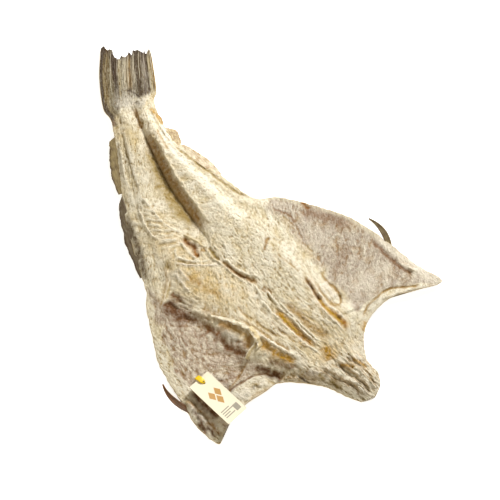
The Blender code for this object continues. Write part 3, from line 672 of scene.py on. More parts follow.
print("drawing", len(marks), "marks")
stainsAndLights = []
for number, mark in enumerate(marks.values()):
    seed = 300 + number
    distance, run = besideLine(mark["path"], atX, atY, mark.get("wander", 0.9), seed)
    taper = smoothStep(np.minimum(run, 1 - run) / 0.16)
    sway = 1.0 + 0.4 * bumps(atX, atY, 10, seed + 400)
    bead = 1.0 + mark.get("beads", 0.25) * bumps(atX, atY, 5.5, seed + 600) * 1.6
    if mark["form"] == "lip":
        rise = distance * mark["side"]
        up = np.where(rise > 0, hump(rise, mark["wide"]), hump(rise, 1.3))
        relief += mark["high"] * taper * sway * (up * bead - 0.4 * hump(rise + 3.0, 2.2))
        stainAndShade = hump(rise - mark.get("inkAt", 0), mark["inkWide"] * sway)
    else:
        sign = {"ridge": 1.0, "groove": -1.0, "stainOrLightMark": 0.0}[mark["form"]]
        relief += sign * mark["high"] * taper * sway * bead * hump(distance, mark["wide"])
        stainAndShade = hump(distance, mark["inkWide"] * sway)
    grainy = 1.0 + 0.45 * bumps(atX, atY, 4.5, seed + 800)
    stainsAndLights.append((mark["ink"], mark["share"] * taper * stainAndShade * grainy))

# colour: patches, then painted shade in the hollows and painted highlight on the crests, then the marks' own
# colours
colour = np.empty(atX.shape + (3,))
colour[:] = inks["cream"]
paint(colour, "bright", 0.35 + 0.9 * roughness(atX, atY, 42, 61))
paint(colour, "straw", 0.05 + 0.6 * roughness(atX, atY, 26, 71))
paint(colour, "mauve", rightSkin * (0.85 + 0.2 * roughness(atX, atY, 20, 81)))
paint(colour, "leftMauve", leftSkin * (0.85 + 0.3 * roughness(atX, atY, 16, 82)))
paint(colour, "brown", leftSkin * np.clip(roughness(atX, atY, 20, 85) + 0.1, 0, 1) * 0.7)
streaks = bumps(*turned(warpX, warpY, 98, 3.2), 3.6, 87)
streaks = streaks + 0.6 * bumps(*turned(warpX, warpY, 140, 2.4), 3.0, 88)
paint(colour, "white", leftSkin * np.clip(streaks, 0, 1) * 0.75)
paint(colour, "brown", leftSkin * np.clip(-streaks - 0.1, 0, 1) * 0.6)
paint(colour, "tan", rightSkin * np.clip(roughness(atX, atY, 24, 86) - 0.1, 0, 1) * 0.6)
hollow = softened(relief, 3) - relief
wide = softened(relief, 9) - relief
# painted shade in the hollows (olive on the flesh, brown on the skin, tan in the wider ones); fold hollows
# straw, and fold tops and crests paler as painted highlight
paint(colour, "olive", np.clip(hollow * 0.8, 0, 0.75) * (1 - skinShare))
paint(colour, "brown", np.clip(hollow * 0.8, 0, 0.6) * skinShare)
paint(colour, "tan", np.clip((wide - 0.3) * 0.4, 0, 0.6))
paint(colour, "straw", np.clip(-folded * 1.3, 0, 0.7) * (1 - skinShare))
paint(colour, "bright", np.clip(folded * 1.3, 0, 0.8) * (1 - skinShare))
paint(colour, "bright", np.clip(-hollow * 0.9, 0, 0.7))
for (gx, gy), (rx, ry), inkName, share in tintAreas:
    near = np.exp(-((atX - gx) / rx) ** 2 - ((atY - gy) / ry) ** 2)
    paint(colour, inkName, share * near * (1.0 + 0.8 * roughness(atX, atY, 12, 67)))
# the neck's end whiter: partly its own pale colour, partly painted light against the shade of its slopes
paint(colour, "white", smoothStep((-266 - atY) / 24) * (0.5 + 0.5 * roughness(atX, atY, 16, 66)))
paint(colour, "cream", smoothStep((9 - fromEdge) / 5) * smoothStep((20 - atY) / 30) * 0.6)
# the marks' own colours: stains, plus a few painted shadows and painted light
for inkName, strength in stainsAndLights:
    paint(colour, inkName, strength)

# the fin with its rays, uneven in width and colour
rays = {"count": 25, "high": 1.0, "tips": 3.4}
rayPlace = (across[None, :] * 0.5 + 0.5) * rays["count"] + 0.35 * bumps(atX, atY, 40, 91)
rayPlace = rayPlace + 0.8 * bumps(rayPlace, atY * 0, 2.6, 94)
rayWave = np.abs(np.sin(rayPlace * math.pi))
rayTone = np.random.default_rng(5).random(rays["count"] + 4)
rayIndex = np.clip(np.floor(rayPlace).astype(int), 0, rays["count"] + 3)
tone = rayTone[rayIndex]
streak = bumps(rayPlace * 1.7, atY / 60, 1.0, 95) * 0.6 + bumps(rayPlace * 4.1, atY / 30, 1.0, 96) * 0.5
relief = mix(relief, relief * 0.35 + rays["high"] * (rayWave - 0.5) * (0.7 + tone) + 0.35 * streak, onFin)
finBands = [(-1, "dark"), (-0.93, "finBrown"), (-0.85, "olive"), (-0.62, "finTan"), (-0.47, "finBrown"),
            (-0.40, "dark"), (-0.3, "straw"), (-0.12, "cream"), (0.08, "tan"), (0.2, "cream"),
            (0.32, "finBrown"),
            (0.55, "finBrown"), (0.66, "mauve"), (0.78, "finBrown"), (0.88, "straw"), (1, "tan")]
bandAt = across[None, :] + 0.05 * bumps(rayPlace * 0.9, atY / 30, 1.0, 98)
bandPlaces = [place for place, name in finBands]
fin = np.stack([np.interp(bandAt, bandPlaces, [inks[name][k] for place, name in finBands])
                for k in range(3)], axis=-1) * 0.66
paint(fin, "cream", 0.4 * (1 - tone) + 0.7 * streak - 0.25)
paint(fin, "finBrown", 0.5 * tone + 0.5 * roughness(atX, atY, 14, 92) - 0.8 * streak - 0.2)
paint(fin, "dark", np.clip(0.45 - rayWave, 0, 1) * 1.5 * (0.5 + tone))
tipShare = smoothStep(1.15 - places[:, None] * 2.2 + 0.5 * bumps(rayPlace * 2, atY / 8, 1.0, 93))
paint(fin, "dark", tipShare * (0.35 + 0.5 * tone))
for number, key in enumerate(("finFold", "rootArch", "rootArchLine", "rootLeftDark")):
    mark = marks[key]
    distance, run = besideLine(mark["path"], atX, atY, 0.9, 700 + number)
    strength = mark["share"] * smoothStep(np.minimum(run, 1 - run) / 0.16) * hump(distance, mark["inkWide"])
    paint(fin, mark["ink"], strength)
colour = mix(colour, fin, onFin[..., None])

oily = np.clip(sum(hump(besideLine(marks[key]["path"], atX, atY, 0, 0)[0], marks[key]["inkWide"] * 1.2)
                   for key in ("sinew", "fissure", "cavityMain", "yellowSpot", "rollShade", "cavityLow",
                               "sinewRight", "sheetAmber")), 0, 1)
# how much of the fine wrinkles runs each way: up to the right, down to the right, along the fish
slant = np.zeros(atX.shape + (3,))
for field in wrinkleFields:
    (fx, fy), (rx, ry) = field["at"], field["reach"]
    weight = np.exp(-((atX - fx) / rx) ** 2 - ((atY - fy) / ry) ** 2)
    kind = 0 if 20 < field["turn"] < 75 else 1 if -70 < field["turn"] < 0 else 2
    slant[..., kind] += weight * field["stretch"]
slant[..., 2] += 0.4
slant[..., 0] += 30 * onFin
slant /= slant.sum(axis=-1, keepdims=True)


# closed mesh from rings of points that each run once round the piece
def makeObject(name, points, faces, material, tints=None, smooth=True):
    mesh = bpy.data.meshes.new(name)
    mesh.from_pydata(np.asarray(points, float).reshape(-1, 3) * mm, [], faces)
    for item in material if isinstance(material, (list, tuple)) else [material]:
        mesh.materials.append(item)
    if tints is not None:
        layer = mesh.color_attributes.new("tint", "FLOAT_COLOR", "POINT")
        full = np.ones((len(mesh.vertices), 4))
        full[:, :3] = np.asarray(tints).reshape(-1, 3)
        layer.data.foreach_set("color", full.ravel())
    if smooth:
        mesh.shade_smooth()
    result = bpy.data.objects.new(name, mesh)
    bpy.context.scene.collection.objects.link(result)
    return result


def closeUp(result):
    # all faces turned outwards
    shape = bmesh.new()
    shape.from_mesh(result.data)
    bmesh.ops.recalc_face_normals(shape, faces=shape.faces)
    shape.to_mesh(result.data)
    shape.free()
    return result


def setFloat(result, name, values):
    layer = result.data.attributes.new(name, "FLOAT", "POINT")
    layer.data.foreach_set("value", np.asarray(values, float).ravel())


def gridFaces(first, rows, columns, width, flip=False, wrap=False):
    # quads of a grid of points whose rows are `width` apart in the list
    i, j = np.meshgrid(np.arange(rows - 1), np.arange(columns if wrap else columns - 1), indexing="ij")
    following = (j + 1) % columns
    corners = np.stack([first + i * width + j, first + (i + 1) * width + j,
                        first + (i + 1) * width + following, first + i * width + following], axis=-1)
    corners = corners.reshape(-1, 4)
    return (corners[:, ::-1] if flip else corners).tolist()


# materials: a vertex colour broken up by fine noise, with wrinkles finer than the mesh
class Shader:
    # shorter ways to add nodes to a material; every method gives back an output socket
    def __init__(self, name):
        self.material = bpy.data.materials.new(name)
        self.material.use_nodes = True
        self.tree = self.material.node_tree
        self.surface = self.tree.nodes["Principled BSDF"]

    def add(self, kind, inputs, output, **settings):
        node = self.tree.nodes.new(kind)
        for key, value in settings.items():
            setattr(node, key, value)
        for key, value in inputs.items():
            self.give(node.inputs[key], value)
        return node.outputs[output]

    def give(self, target, value):
        if isinstance(value, bpy.types.NodeSocket):
            self.tree.links.new(value, target)
        else:
            target.default_value = value

    def place(self):
        return self.add("ShaderNodeTexCoord", {}, "Object")

    def attribute(self, name, output="Color"):
        return self.add("ShaderNodeAttribute", {}, output, attribute_name=name)

    def aimed(self, vector, turn=0.0, scale=(1, 1, 1)):
        # the coordinates turned about Z first, then stretched along the turned axes
        spun = self.add("ShaderNodeMapping", {"Vector": vector, "Rotation": (0, 0, math.radians(-turn))},
                        "Vector")
        return self.add("ShaderNodeMapping", {"Vector": spun, "Scale": scale}, "Vector")

    def noise(self, vector, scale, detail=3.0, rough=0.55, distortion=0.0):
        return self.add("ShaderNodeTexNoise", {"Vector": vector, "Scale": scale, "Detail": detail,
                                               "Roughness": rough, "Distortion": distortion}, "Fac")

    def cells(self, vector, scale, feature="DISTANCE_TO_EDGE"):
        return self.add("ShaderNodeTexVoronoi", {"Vector": vector, "Scale": scale}, "Distance",
                        feature=feature)

    def ramp(self, value, low, high, start=0.0, end=1.0):
        return self.add("ShaderNodeMapRange", {"Value": value, "From Min": low, "From Max": high,
                                               "To Min": start, "To Max": end}, "Result")

    def sum(self, first, second, operation="ADD"):
        return self.add("ShaderNodeMath", {0: first, 1: second}, 0, operation=operation)

    def blend(self, share, first, second, mode="MIX"):
        return self.add("ShaderNodeMix", {0: share, 6: first, 7: second}, 2, data_type="RGBA",
                        blend_type=mode)

    def finish(self, colour, height, roughness, strength, depth):
        normal = self.add("ShaderNodeBump", {"Strength": strength, "Distance": depth, "Height": height},
                          "Normal")
        self.give(self.surface.inputs["Base Color"], colour)
        self.give(self.surface.inputs["Roughness"], roughness)
        self.give(self.surface.inputs["Normal"], normal)
        return self.material


fleshLook = {
    "wrinkleSize": 3.0,      # mm between fine wrinkles
    "wrinkleLength": 2.8,    # how much longer than wide they are
    "wrinkleDepth": 8.0,     # mm
    "pebbleSize": 3.4,
    # creaseShare is the painted shade in the creases, crestShare the painted highlight on the crests
    "creaseShare": 0.9,      # how dark the creases are
    "crestShare": 0.55,      # how pale the crests are
    "roughness": 0.6,
}


def fleshShader(name, look):
    shader = Shader(name)
    place = shader.place()
    slanted = shader.add("ShaderNodeSeparateColor", {"Color": shader.attribute("slant")}, "Red")
    split = slanted.node
    height = None
    for turn, weight in ((60.0, "Red"), (-50.0, "Green"), (-86.0, "Blue")):
        aimed = shader.aimed(place, turn, (1.0 / look["wrinkleLength"], 1.0, 1.0))
        lines = shader.noise(aimed, 1000.0 / look["wrinkleSize"], 4.0, 0.7, 0.35)
        part = shader.sum(lines, split.outputs[weight], "MULTIPLY")
        height = part if height is None else shader.sum(height, part)
    pebbles = shader.noise(place, 1000.0 / look["pebbleSize"], 2.5, 0.6, 0.25)
    whole = shader.sum(shader.sum(height, 0.8, "MULTIPLY"), shader.sum(pebbles, 0.2, "MULTIPLY"))
    # painted shade in the fine creases and a painted highlight on their crests, both weaker where the flesh
    # is calm
    calm = shader.ramp(shader.attribute("calm", "Fac"), 0.0, 1.0, 1.0, 0.2)
    crease = shader.sum(shader.ramp(whole, 0.39, 0.465, look["creaseShare"], 0.0), calm, "MULTIPLY")
    crest = shader.sum(shader.ramp(whole, 0.51, 0.59, 0.0, look["crestShare"]), calm, "MULTIPLY")
    fine = shader.noise(place, 900.0, 2.0, 0.65)
    tint = shader.attribute("tint")
    stainAndShade = shader.blend(1.0, tint, (0.47, 0.34, 0.13, 1), "MULTIPLY")
    colour = shader.blend(crease, tint, stainAndShade)
    lifted = shader.blend(1.0, tint, (1.28, 1.26, 1.2, 1), "MULTIPLY")
    crestHighlight = shader.blend(0.22, lifted, (0.95, 0.92, 0.83, 1))
    colour = shader.blend(crest, colour, crestHighlight)
    height = shader.sum(whole, shader.sum(fine, 0.15, "MULTIPLY"))
    gloss = shader.ramp(shader.attribute("oily", "Fac"), 0.0, 1.0, look["roughness"], 0.32)
    return shader.finish(colour, height, gloss, 1.0, look["wrinkleDepth"] * mm)


def plainShader(name, roughness=0.6, grain=300.0, dust=0.25, crack=0.3, depth=0.5, stretch=(1, 1, 1),
                turn=0.0):
    # for the smaller pieces: grain size in cells a metre, shares of dust and cracks, depth in mm
    shader = Shader(name)
    aimed = shader.aimed(shader.place(), turn, stretch)
    fine = shader.noise(aimed, grain, 4.0, 0.6)
    edges = shader.cells(aimed, grain * 0.6)
    patchy = shader.ramp(shader.noise(aimed, grain * 0.35, 2.0, 0.5, 0.5), 0.42, 0.62)
    crease = shader.sum(shader.ramp(edges, 0.0, 0.16, crack, 0.0), patchy, "MULTIPLY")
    dusty = shader.ramp(fine, 0.32, 0.68, dust, 0.0)
    colour = shader.blend(dusty, shader.attribute("tint"), (0.12, 0.08, 0.04, 1))
    colour = shader.blend(crease, colour, (0.42, 0.27, 0.13, 1), "MULTIPLY")
    height = shader.sum(fine, crease, "SUBTRACT")
    gloss = shader.ramp(fine, 0.3, 0.7, roughness + 0.06, roughness - 0.06)
    return shader.finish(colour, height, gloss, 1.0, depth * mm)


fleshMaterial = fleshShader("driedFlesh", fleshLook)
skinMaterial = plainShader("fishSkin", roughness=0.5, grain=420.0, dust=0.35, crack=0.6)
finMaterial = plainShader("driedFin", roughness=0.55, grain=420.0, stretch=(0.25, 1.0, 1.0), turn=60.0)
tornMaterial = plainShader("tornSkin", roughness=0.5, grain=340.0, depth=0.7)
saltMaterial = plainShader("saltGrain", roughness=0.35, grain=900.0, dust=0.08, crack=0.0, depth=0.2)

print("building the flesh")
# ragged edges, then the rounded rim and the underside
away = np.stack([atX - np.roll(atX, 1, axis=1), atY - np.roll(atY, 1, axis=1)], axis=-1)
away[:, 0] = away[:, 1]
away /= np.maximum(np.linalg.norm(away, axis=-1, keepdims=True), 1e-6)
away[:, : body["halfColumns"]] *= -1.0
ragged = smoothStep((np.abs(across)[None, :] - 0.93) / 0.07) * (
    0.9 * bumps(atX, atY, 9, 111) + 0.5 * bumps(atX, atY, 4, 112)) * (1 - onFin)
outX, outY = atX + away[..., 0] * ragged, atY + away[..., 1] * ragged
ragEnd = rays["tips"] * (tone - 0.5) * 2.0 * np.clip(1 - places, 0, 1)[:, None] ** 3
outX += ragEnd * 0.45
outY += ragEnd * 0.89
fadeOut = smoothStep(fromEdge / 5.0) * 0.85 + 0.15
top = np.stack([outX, outY, np.maximum(atZ + relief * fadeOut, 2.2)], axis=-1)
underSteps = body["halfColumns"] // body["underColumns"]
under = np.arange(0, 2 * body["halfColumns"] + 1, underSteps)
underShare = smoothStep((np.abs(across[under]) - body["flatShare"]) / (1 - body["flatShare"]))[None, :]
underZ = mix(tracks[11], tracks[10], underShare) + rippleUp[:, under]
underZ = np.minimum(underZ, top[:, under, 2] - 1.6)
bottom = np.stack([outX[:, under], outY[:, under], underZ], axis=-1)


def rim(upper, lower, outward):
    # three points of a rounded edge
    middle, half = (upper + lower) / 2, (upper[:, 2] - lower[:, 2]) / 2
    points = []
    for angle in (45, 90, 135):
        point = middle.copy()
        point[:, :2] += outward * body["edgeBulge"] * math.sin(math.radians(angle))
        point[:, 2] += half * math.cos(math.radians(angle))
        points.append(point)
    return np.stack(points, axis=1)


rightRim = rim(top[:, -1], bottom[:, -1], away[:, -1])
leftRim = rim(top[:, 0], bottom[:, 0], away[:, 0])
rest = np.concatenate([rightRim, bottom[:, ::-1], leftRim[:, ::-1]], axis=1)
stations, topCount = top.shape[:2]
restCount, underCount = rest.shape[1], len(under)
tailRows = int((places < body["bellyStart"]).sum())
tailStep = body["tailStep"]
tailCount = (topCount - 1) // tailStep + 1
frontStart = tailRows * tailCount
restStart = frontStart + (stations - tailRows) * topCount


def inOrder(onTop, onRest):
    # values of the top and of the rest in the order of the mesh's points
    width = onTop.shape[2:]
    return np.concatenate([onTop[:tailRows, ::tailStep].reshape(-1, *width),
                           onTop[tailRows:].reshape(-1, *width), onRest.reshape(-1, *width)])


def topRow(station):
    if station < tailRows:
        return [station * tailCount + k for k in range(tailCount)]
    return [frontStart + (station - tailRows) * topCount + k for k in range(topCount)]


def restRow(station):
    return [restStart + station * restCount + k for k in range(restCount)]


faces = gridFaces(0, tailRows, tailCount, tailCount, flip=True)
faces += gridFaces(frontStart, stations - tailRows, topCount, topCount, flip=True)
coarse, fineRow = topRow(tailRows - 1), topRow(tailRows)
for k in range(tailCount - 1):
    between = fineRow[k * tailStep:(k + 1) * tailStep + 1]
    faces.append([coarse[k], coarse[k + 1]] + between[::-1])
firstRest = len(faces)
faces += gridFaces(restStart, stations, restCount, restCount, flip=True)
lastRest = len(faces)
for station in range(stations - 1):
    here, following = topRow(station), topRow(station + 1)
    side, sideNext = restRow(station), restRow(station + 1)
    faces.append([here[-1], side[0], sideNext[0], following[-1]])
    faces.append([side[-1], here[0], following[0], sideNext[-1]])
for station, outward in ((0, False), (stations - 1, True)):
    upperRow, side = topRow(station), restRow(station)
    lowerRow = side[3:3 + underCount][::-1]
    step = (len(upperRow) - 1) // (underCount - 1)
    for k in range(underCount - 1):
        corners = upperRow[k * step:(k + 1) * step + 1] + [lowerRow[k + 1], lowerRow[k]]
        faces.append(corners[::-1] if outward else corners)
    for corners in ([upperRow[-1], *side[:4]], [*side[-4:], upperRow[0]]):
        faces.append(corners[::-1] if outward else corners)
skinTone = np.empty(bottom.shape)
skinTone[:] = inks["skin"]
paint(skinTone, "grey", 0.5 + 0.6 * roughness(bottom[..., 0], bottom[..., 1], 30, 121))
rimTone = np.empty(rightRim.shape)
rimTone[:] = inks["straw"]
paint(rimTone, "tan", np.repeat(0.4 + 0.5 * bumps(atY[:, -1:], atX[:, -1:], 14, 131), 3, axis=1))
restTone = np.concatenate([rimTone, skinTone[:, ::-1], rimTone], axis=1)
codFlesh = closeUp(makeObject("codFlesh", inOrder(top, rest), faces, [fleshMaterial, skinMaterial],
                              inOrder(colour, restTone)))
setFloat(codFlesh, "oily", inOrder(oily, np.zeros(rest.shape[:2])))
rightLoin = smoothStep((atX - 20) / 30) * smoothStep((10 - atY) / 40) * smoothStep((atY + 280) / 40)
calm = np.clip(0.45 * rightLoin + 0.35 * rightSkin + 0.8 * oily, 0, 1)
setFloat(codFlesh, "calm", inOrder(calm, np.zeros(rest.shape[:2])))
lean = codFlesh.data.attributes.new("slant", "FLOAT_COLOR", "POINT")
leanAll = np.ones((len(codFlesh.data.vertices), 4)) / 3.0
leanAll[:, :3] = inOrder(slant, np.full(rest.shape[:2] + (3,), 1.0 / 3.0))
lean.data.foreach_set("color", leanAll.ravel())
mesh = codFlesh.data
kinds = np.zeros(len(mesh.polygons), int)
below = np.tile(np.arange(restCount - 1), stations - 1)
kinds[firstRest:lastRest] = (below > 1) & (below < restCount - 3)
mesh.polygons.foreach_set("material_index", kinds)
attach(codFlesh, "root")
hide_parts("split_cod")
print("codFlesh", len(mesh.vertices), "points", sum(len(face) - 2 for face in faces), "triangles")


# height of the finished surface anywhere over the fish, for what lies on it
flatTop = top.reshape(-1, 3)
surface = kdtree.KDTree(stations * topCount)
for index, point in enumerate(flatTop):
    surface.insert(point * (1, 1, 0), index)
surface.balance()


def heightAt(x, y):
    found = surface.find_n((x, y, 0), 6)
    weight = np.array([1.0 / (gap + 0.4) ** 2 for point, index, gap in found])
    return float((flatTop[[index for point, index, gap in found], 2] * weight).sum() / weight.sum())


# a thin closed sheet with a rounded rim, from a grid of points (rows x columns x 3, mm)
def sheetMesh(name, grid, thick, material, tints, underTints=None):
    rows, columns = grid.shape[:2]
    acrossWay = np.gradient(grid, axis=1)
    alongWay = np.gradient(grid, axis=0)
    normal = np.cross(acrossWay, alongWay)
    normal /= np.maximum(np.linalg.norm(normal, axis=-1, keepdims=True), 1e-6)
    edge = np.minimum(np.arange(rows)[:, None], np.arange(rows)[::-1][:, None])
    edge = np.minimum(edge, np.minimum(np.arange(columns), np.arange(columns)[::-1])[None, :])
    full = np.asarray(thick, float) * np.where(edge == 0, 0.35, np.where(edge == 1, 0.8, 1.0)) / 2
    upper = grid + normal * full[..., None]
    lower = grid - normal * full[..., None]
    count = rows * columns
    faces = gridFaces(0, rows, columns, columns, flip=True) + gridFaces(count, rows, columns, columns)
    border = ([(0, j) for j in range(columns)] + [(i, columns - 1) for i in range(1, rows)]
              + [(rows - 1, j) for j in range(columns - 2, -1, -1)]
              + [(i, 0) for i in range(rows - 2, 0, -1)])
    for k, (i, j) in enumerate(border):
        m, n = border[(k + 1) % len(border)]
        faces.append([i * columns + j, m * columns + n, count + m * columns + n, count + i * columns + j])
    both = np.concatenate([np.asarray(tints).reshape(-1, 3),
                           np.asarray(tints if underTints is None else underTints).reshape(-1, 3)])
    points = np.concatenate([upper.reshape(-1, 3), lower.reshape(-1, 3)])
    result = makeObject(name, points, faces, material, both)
    return closeUp(result)


def joinPieces(name, items):
    with bpy.context.temp_override(active_object=items[0], selected_editable_objects=items):
        bpy.ops.object.join()
    items[0].name = name
    items[0].data.name = name
    return items[0]


# fins along the edges: the line where each one leaves the flesh, its outer line, height over the
# floor at both, number of rays and colours
edgeFins = {
    "analFin": dict(root=[(-34, 226), (-42, 212), (-52, 196), (-62, 180), (-72, 162), (-82, 140)],
                    rim=[(-50, 226), (-57, 215), (-67, 201), (-77, 185), (-85, 168), (-91, 144)],
                    heights=(7, 5), rays=16, inks=("finTan", "dark"), dark=0.5),
    "rearAnalFin": dict(root=[(-92, 136), (-100, 116), (-106, 98), (-114, 74), (-124, 46), (-137, 8)],
                        rim=[(-100, 131), (-110, 117), (-118, 100), (-130, 75), (-138, 50), (-147, 12)],
                        heights=(7.5, 5), rays=22, inks=("skin", "dark"), dark=0.5),
    "rootWeb": dict(root=[(30, 232), (31, 222), (32, 212), (32, 202), (30, 194)],
                    rim=[(39, 229), (40, 221), (42, 213), (42, 204), (37, 193)],
                    heights=(8, 5), rays=5, inks=("amber", "brown"), dark=0.4),
    "thirdBackFin": dict(root=[(30, 190), (31, 180), (32, 170), (33, 160), (35, 150)],
                         rim=[(37, 188), (44, 180), (48, 173), (46, 162), (42, 151)],
                         heights=(9, 6), rays=8, inks=("straw", "brown"), dark=0.9),
    "secondBackFin": dict(root=[(36, 150), (39, 134), (43, 118), (48, 100), (53, 84), (56, 68)],
                          rim=[(43, 147), (48, 136), (53, 122), (58, 106), (61, 92), (61, 70)],
                          heights=(8, 5.5), rays=14, inks=("cream", "ochre"), dark=0.9),
}
print("adding the edge fins")
finPieces = []
for number, (name, fin) in enumerate(edgeFins.items()):
    rows, columns = 121, 17
    step = np.linspace(0, len(fin["root"]) - 1, rows)
    root, outer = spline(fin["root"], step), spline(fin["rim"], step)
    ragged = 1.0 + 0.1 * bumps(step * 9, step * 0, 5.0, 140 + number)
    ragged = ragged + 0.05 * bumps(step * 9, step * 0, 2.0, 145)
    share = np.linspace(-0.45, 1, columns)[None, :] * np.where(np.linspace(-0.45, 1, columns) > 0.6,
                                                              ragged[:, None], 1.0)
    skew = share * 5.0 + step[:, None] * 1.3 + 0.5 * bumps(share * 3, step[:, None] * 2, 1.0, 147 + number)
    ray = np.abs(np.sin(skew * math.pi))
    grid = np.empty((rows, columns, 3))
    grid[..., :2] = root[:, None] + (outer - root)[:, None] * share[..., None]
    grid[..., 2] = mix(fin["heights"][0], fin["heights"][1], share) + 0.9 * (ray - 0.5) * np.clip(
        share + 0.3, 0, 1)
    tone = np.empty(grid.shape)
    tone[:] = inks[fin["inks"][0]]
    paint(tone, fin["inks"][1], fin["dark"] * (1 - ray) + 0.5 * bumps(grid[..., 0], grid[..., 1], 9, 150)
          + 0.5 * smoothStep((share - 0.7) / 0.3))
    finPieces.append(sheetMesh(name, grid, 1.5, finMaterial, tone))
edgeFinPiece = joinPieces("edgeFins", finPieces)
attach(edgeFinPiece, "root")

# pectoral fins: dark dry blades that stand out behind the flaps
blades = {
    "left": dict(line=[(-211, -208), (-230, -172), (-221, -146)], width=11.0, heights=(7, 9, 12),
                 inks=("brown", "dark"), dark=0.75),
    "right": dict(line=[(198, -192), (212, -163), (200, -136)], width=12.0, heights=(6, 8, 11),
                  inks=("finBrown", "finTan"), dark=0.4),
}
bladePieces = []
for number, (name, blade) in enumerate(blades.items()):
    share = np.linspace(0, 1, 61)[:, None]
    points = [np.array([*point, height]) for point, height in zip(blade["line"], blade["heights"])]
    middle = points[0] * (1 - share) ** 2 + points[1] * 2 * share * (1 - share) + points[2] * share ** 2
    way = np.gradient(middle, axis=0)
    normal = np.stack([-way[:, 1], way[:, 0]], axis=1) / np.hypot(way[:, 0], way[:, 1])[:, None]
    half = blade["width"] * (1 - share) ** 0.6 * (0.55 + 0.45 * np.sin(math.pi * share)) / 2 + 0.6
    place = np.linspace(-1, 1, 25)[None, :]
    grid = np.empty((61, 25, 3))
    grid[..., :2] = middle[:, None, :2] + normal[:, None] * (half * place)[..., None]
    rayLine = np.abs(np.sin(place * 4.5 * math.pi))
    grid[..., 2] = middle[:, 2:3] + 1.6 * place ** 2 * (1 - share * 0.5) + 0.7 * (rayLine - 0.5)
    tone = np.empty(grid.shape)
    tone[:] = inks[blade["inks"][0]]
    paint(tone, blade["inks"][1], blade["dark"] * (0.5 + 0.5 * (1 - rayLine)) + 0.4 * bumps(
        grid[..., 0], grid[..., 1], 7, 160 + number))
    bladePieces.append(sheetMesh(name, grid, 1.4, finMaterial, tone))
pectoralFins = joinPieces("pectoralFins", bladePieces)
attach(pectoralFins, "root")

# torn skins that stand off the flesh: attached line, then free line with its own height above the
# surface under it (mm)
tornSkins = {
    "bellyLip": dict(fixed=[(-60, -166, 0), (-61, -177, 0), (-68, -189, 0), (-82, -193, 0), (-93, -199, 0)],
                     free=[(-64, -164, 2), (-66, -176, 5), (-72, -185, 6), (-84, -188, 6), (-96, -194, 4)],
                     inks=("straw", "bright"), curl=2.0),
    "bellyFold": dict(fixed=[(-57, -160, 0), (-57, -172, 0), (-58, -184, 0), (-62, -196, 0)],
                      free=[(-66, -162, 3), (-66, -174, 6), (-67, -184, 7), (-73, -195, 5)],
                      inks=("straw", "bright"), curl=2.6),
    "loinLip": dict(fixed=[(-97, -107, 0), (-84, -121, 0), (-73, -137, 0), (-65, -152, 0), (-59, -166, 0)],
                    free=[(-100, -110, 0), (-88, -125, 1.5), (-77, -140, 2), (-70, -155, 3), (-63, -168, 3)],
                    inks=("cream", "bright"), curl=1.2),
}
print("adding the torn skins")
tornPieces = []
for number, (name, torn) in enumerate(tornSkins.items()):
    rows, columns = 61, 13
    step = np.linspace(0, len(torn["fixed"]) - 1, rows)
    fixed, free = spline(torn["fixed"], step), spline(torn["free"], step)
    wander = 2.6 * bumps(step * 14, step * 0 + 3, 9, 170 + number) + 1.6 * bumps(step * 14, step * 0, 4, 175)
    share = np.linspace(0, 1, columns)[None, :] ** 0.9
    grid = np.empty((rows, columns, 3))
    grid[..., :2] = fixed[:, None, :2] + (free - fixed)[:, None, :2] * share[..., None]
    grid[..., 0] += wander[:, None] * share
    under = np.array([heightAt(x, y) for x, y in grid[..., :2].reshape(-1, 2)]).reshape(rows, columns)
    inner = np.array([heightAt(x, y) for x, y in fixed[:, :2]])[:, None]
    bend = np.sin(share * math.pi * 0.75) * torn["curl"]
    sheetZ = mix(inner - 1.2, np.maximum(inner - 1.5, under) + free[:, 2:3] * 0.4, share) + bend
    grid[..., 2] = np.maximum(sheetZ, under + 0.3) + 0.6 * bumps(grid[..., 0], grid[..., 1], 6, 180)
    grid[:, 0, 2] = inner[:, 0] - 1.4
    tone = np.empty(grid.shape)
    tone[:] = inks[torn["inks"][0]]
    patchy = 0.4 * bumps(grid[..., 0], grid[..., 1], 5, 190)
    paint(tone, torn["inks"][1], smoothStep((share - 0.6) / 0.4) + patchy)
    tornPieces.append(sheetMesh(name, grid, 1.1, tornMaterial, tone))
tornPiece = joinPieces("tornSkins", tornPieces)
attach(tornPiece, "root")


# geometry nodes: small helpers, then one tree for whatever is scattered over the flesh
def newTree(name, sockets):
    tree = bpy.data.node_groups.new(name, "GeometryNodeTree")
    tree.interface.new_socket("Geometry", in_out="INPUT", socket_type="NodeSocketGeometry")
    tree.interface.new_socket("Geometry", in_out="OUTPUT", socket_type="NodeSocketGeometry")
    for label, kind in sockets:
        tree.interface.new_socket(label, in_out="INPUT", socket_type=kind)
    return tree, tree.nodes.new("NodeGroupInput"), tree.nodes.new("NodeGroupOutput")


def applyTree(name, source, tree, values):
    # a plain mesh of what the tree makes from the source
    holder = bpy.data.objects.new(name, source.data.copy())
    bpy.context.scene.collection.objects.link(holder)
    modifier = holder.modifiers.new(name, "NODES")
    modifier.node_group = tree
    for item in tree.interface.items_tree:
        if item.in_out == "INPUT" and item.name in values:
            modifier[item.identifier] = values[item.name]
    bpy.context.view_layer.update()
    graph = bpy.context.evaluated_depsgraph_get()
    made = bpy.data.meshes.new_from_object(holder.evaluated_get(graph))
    bpy.data.objects.remove(holder)
    made.name = name
    result = bpy.data.objects.new(name, made)
    bpy.context.scene.collection.objects.link(result)
    return result


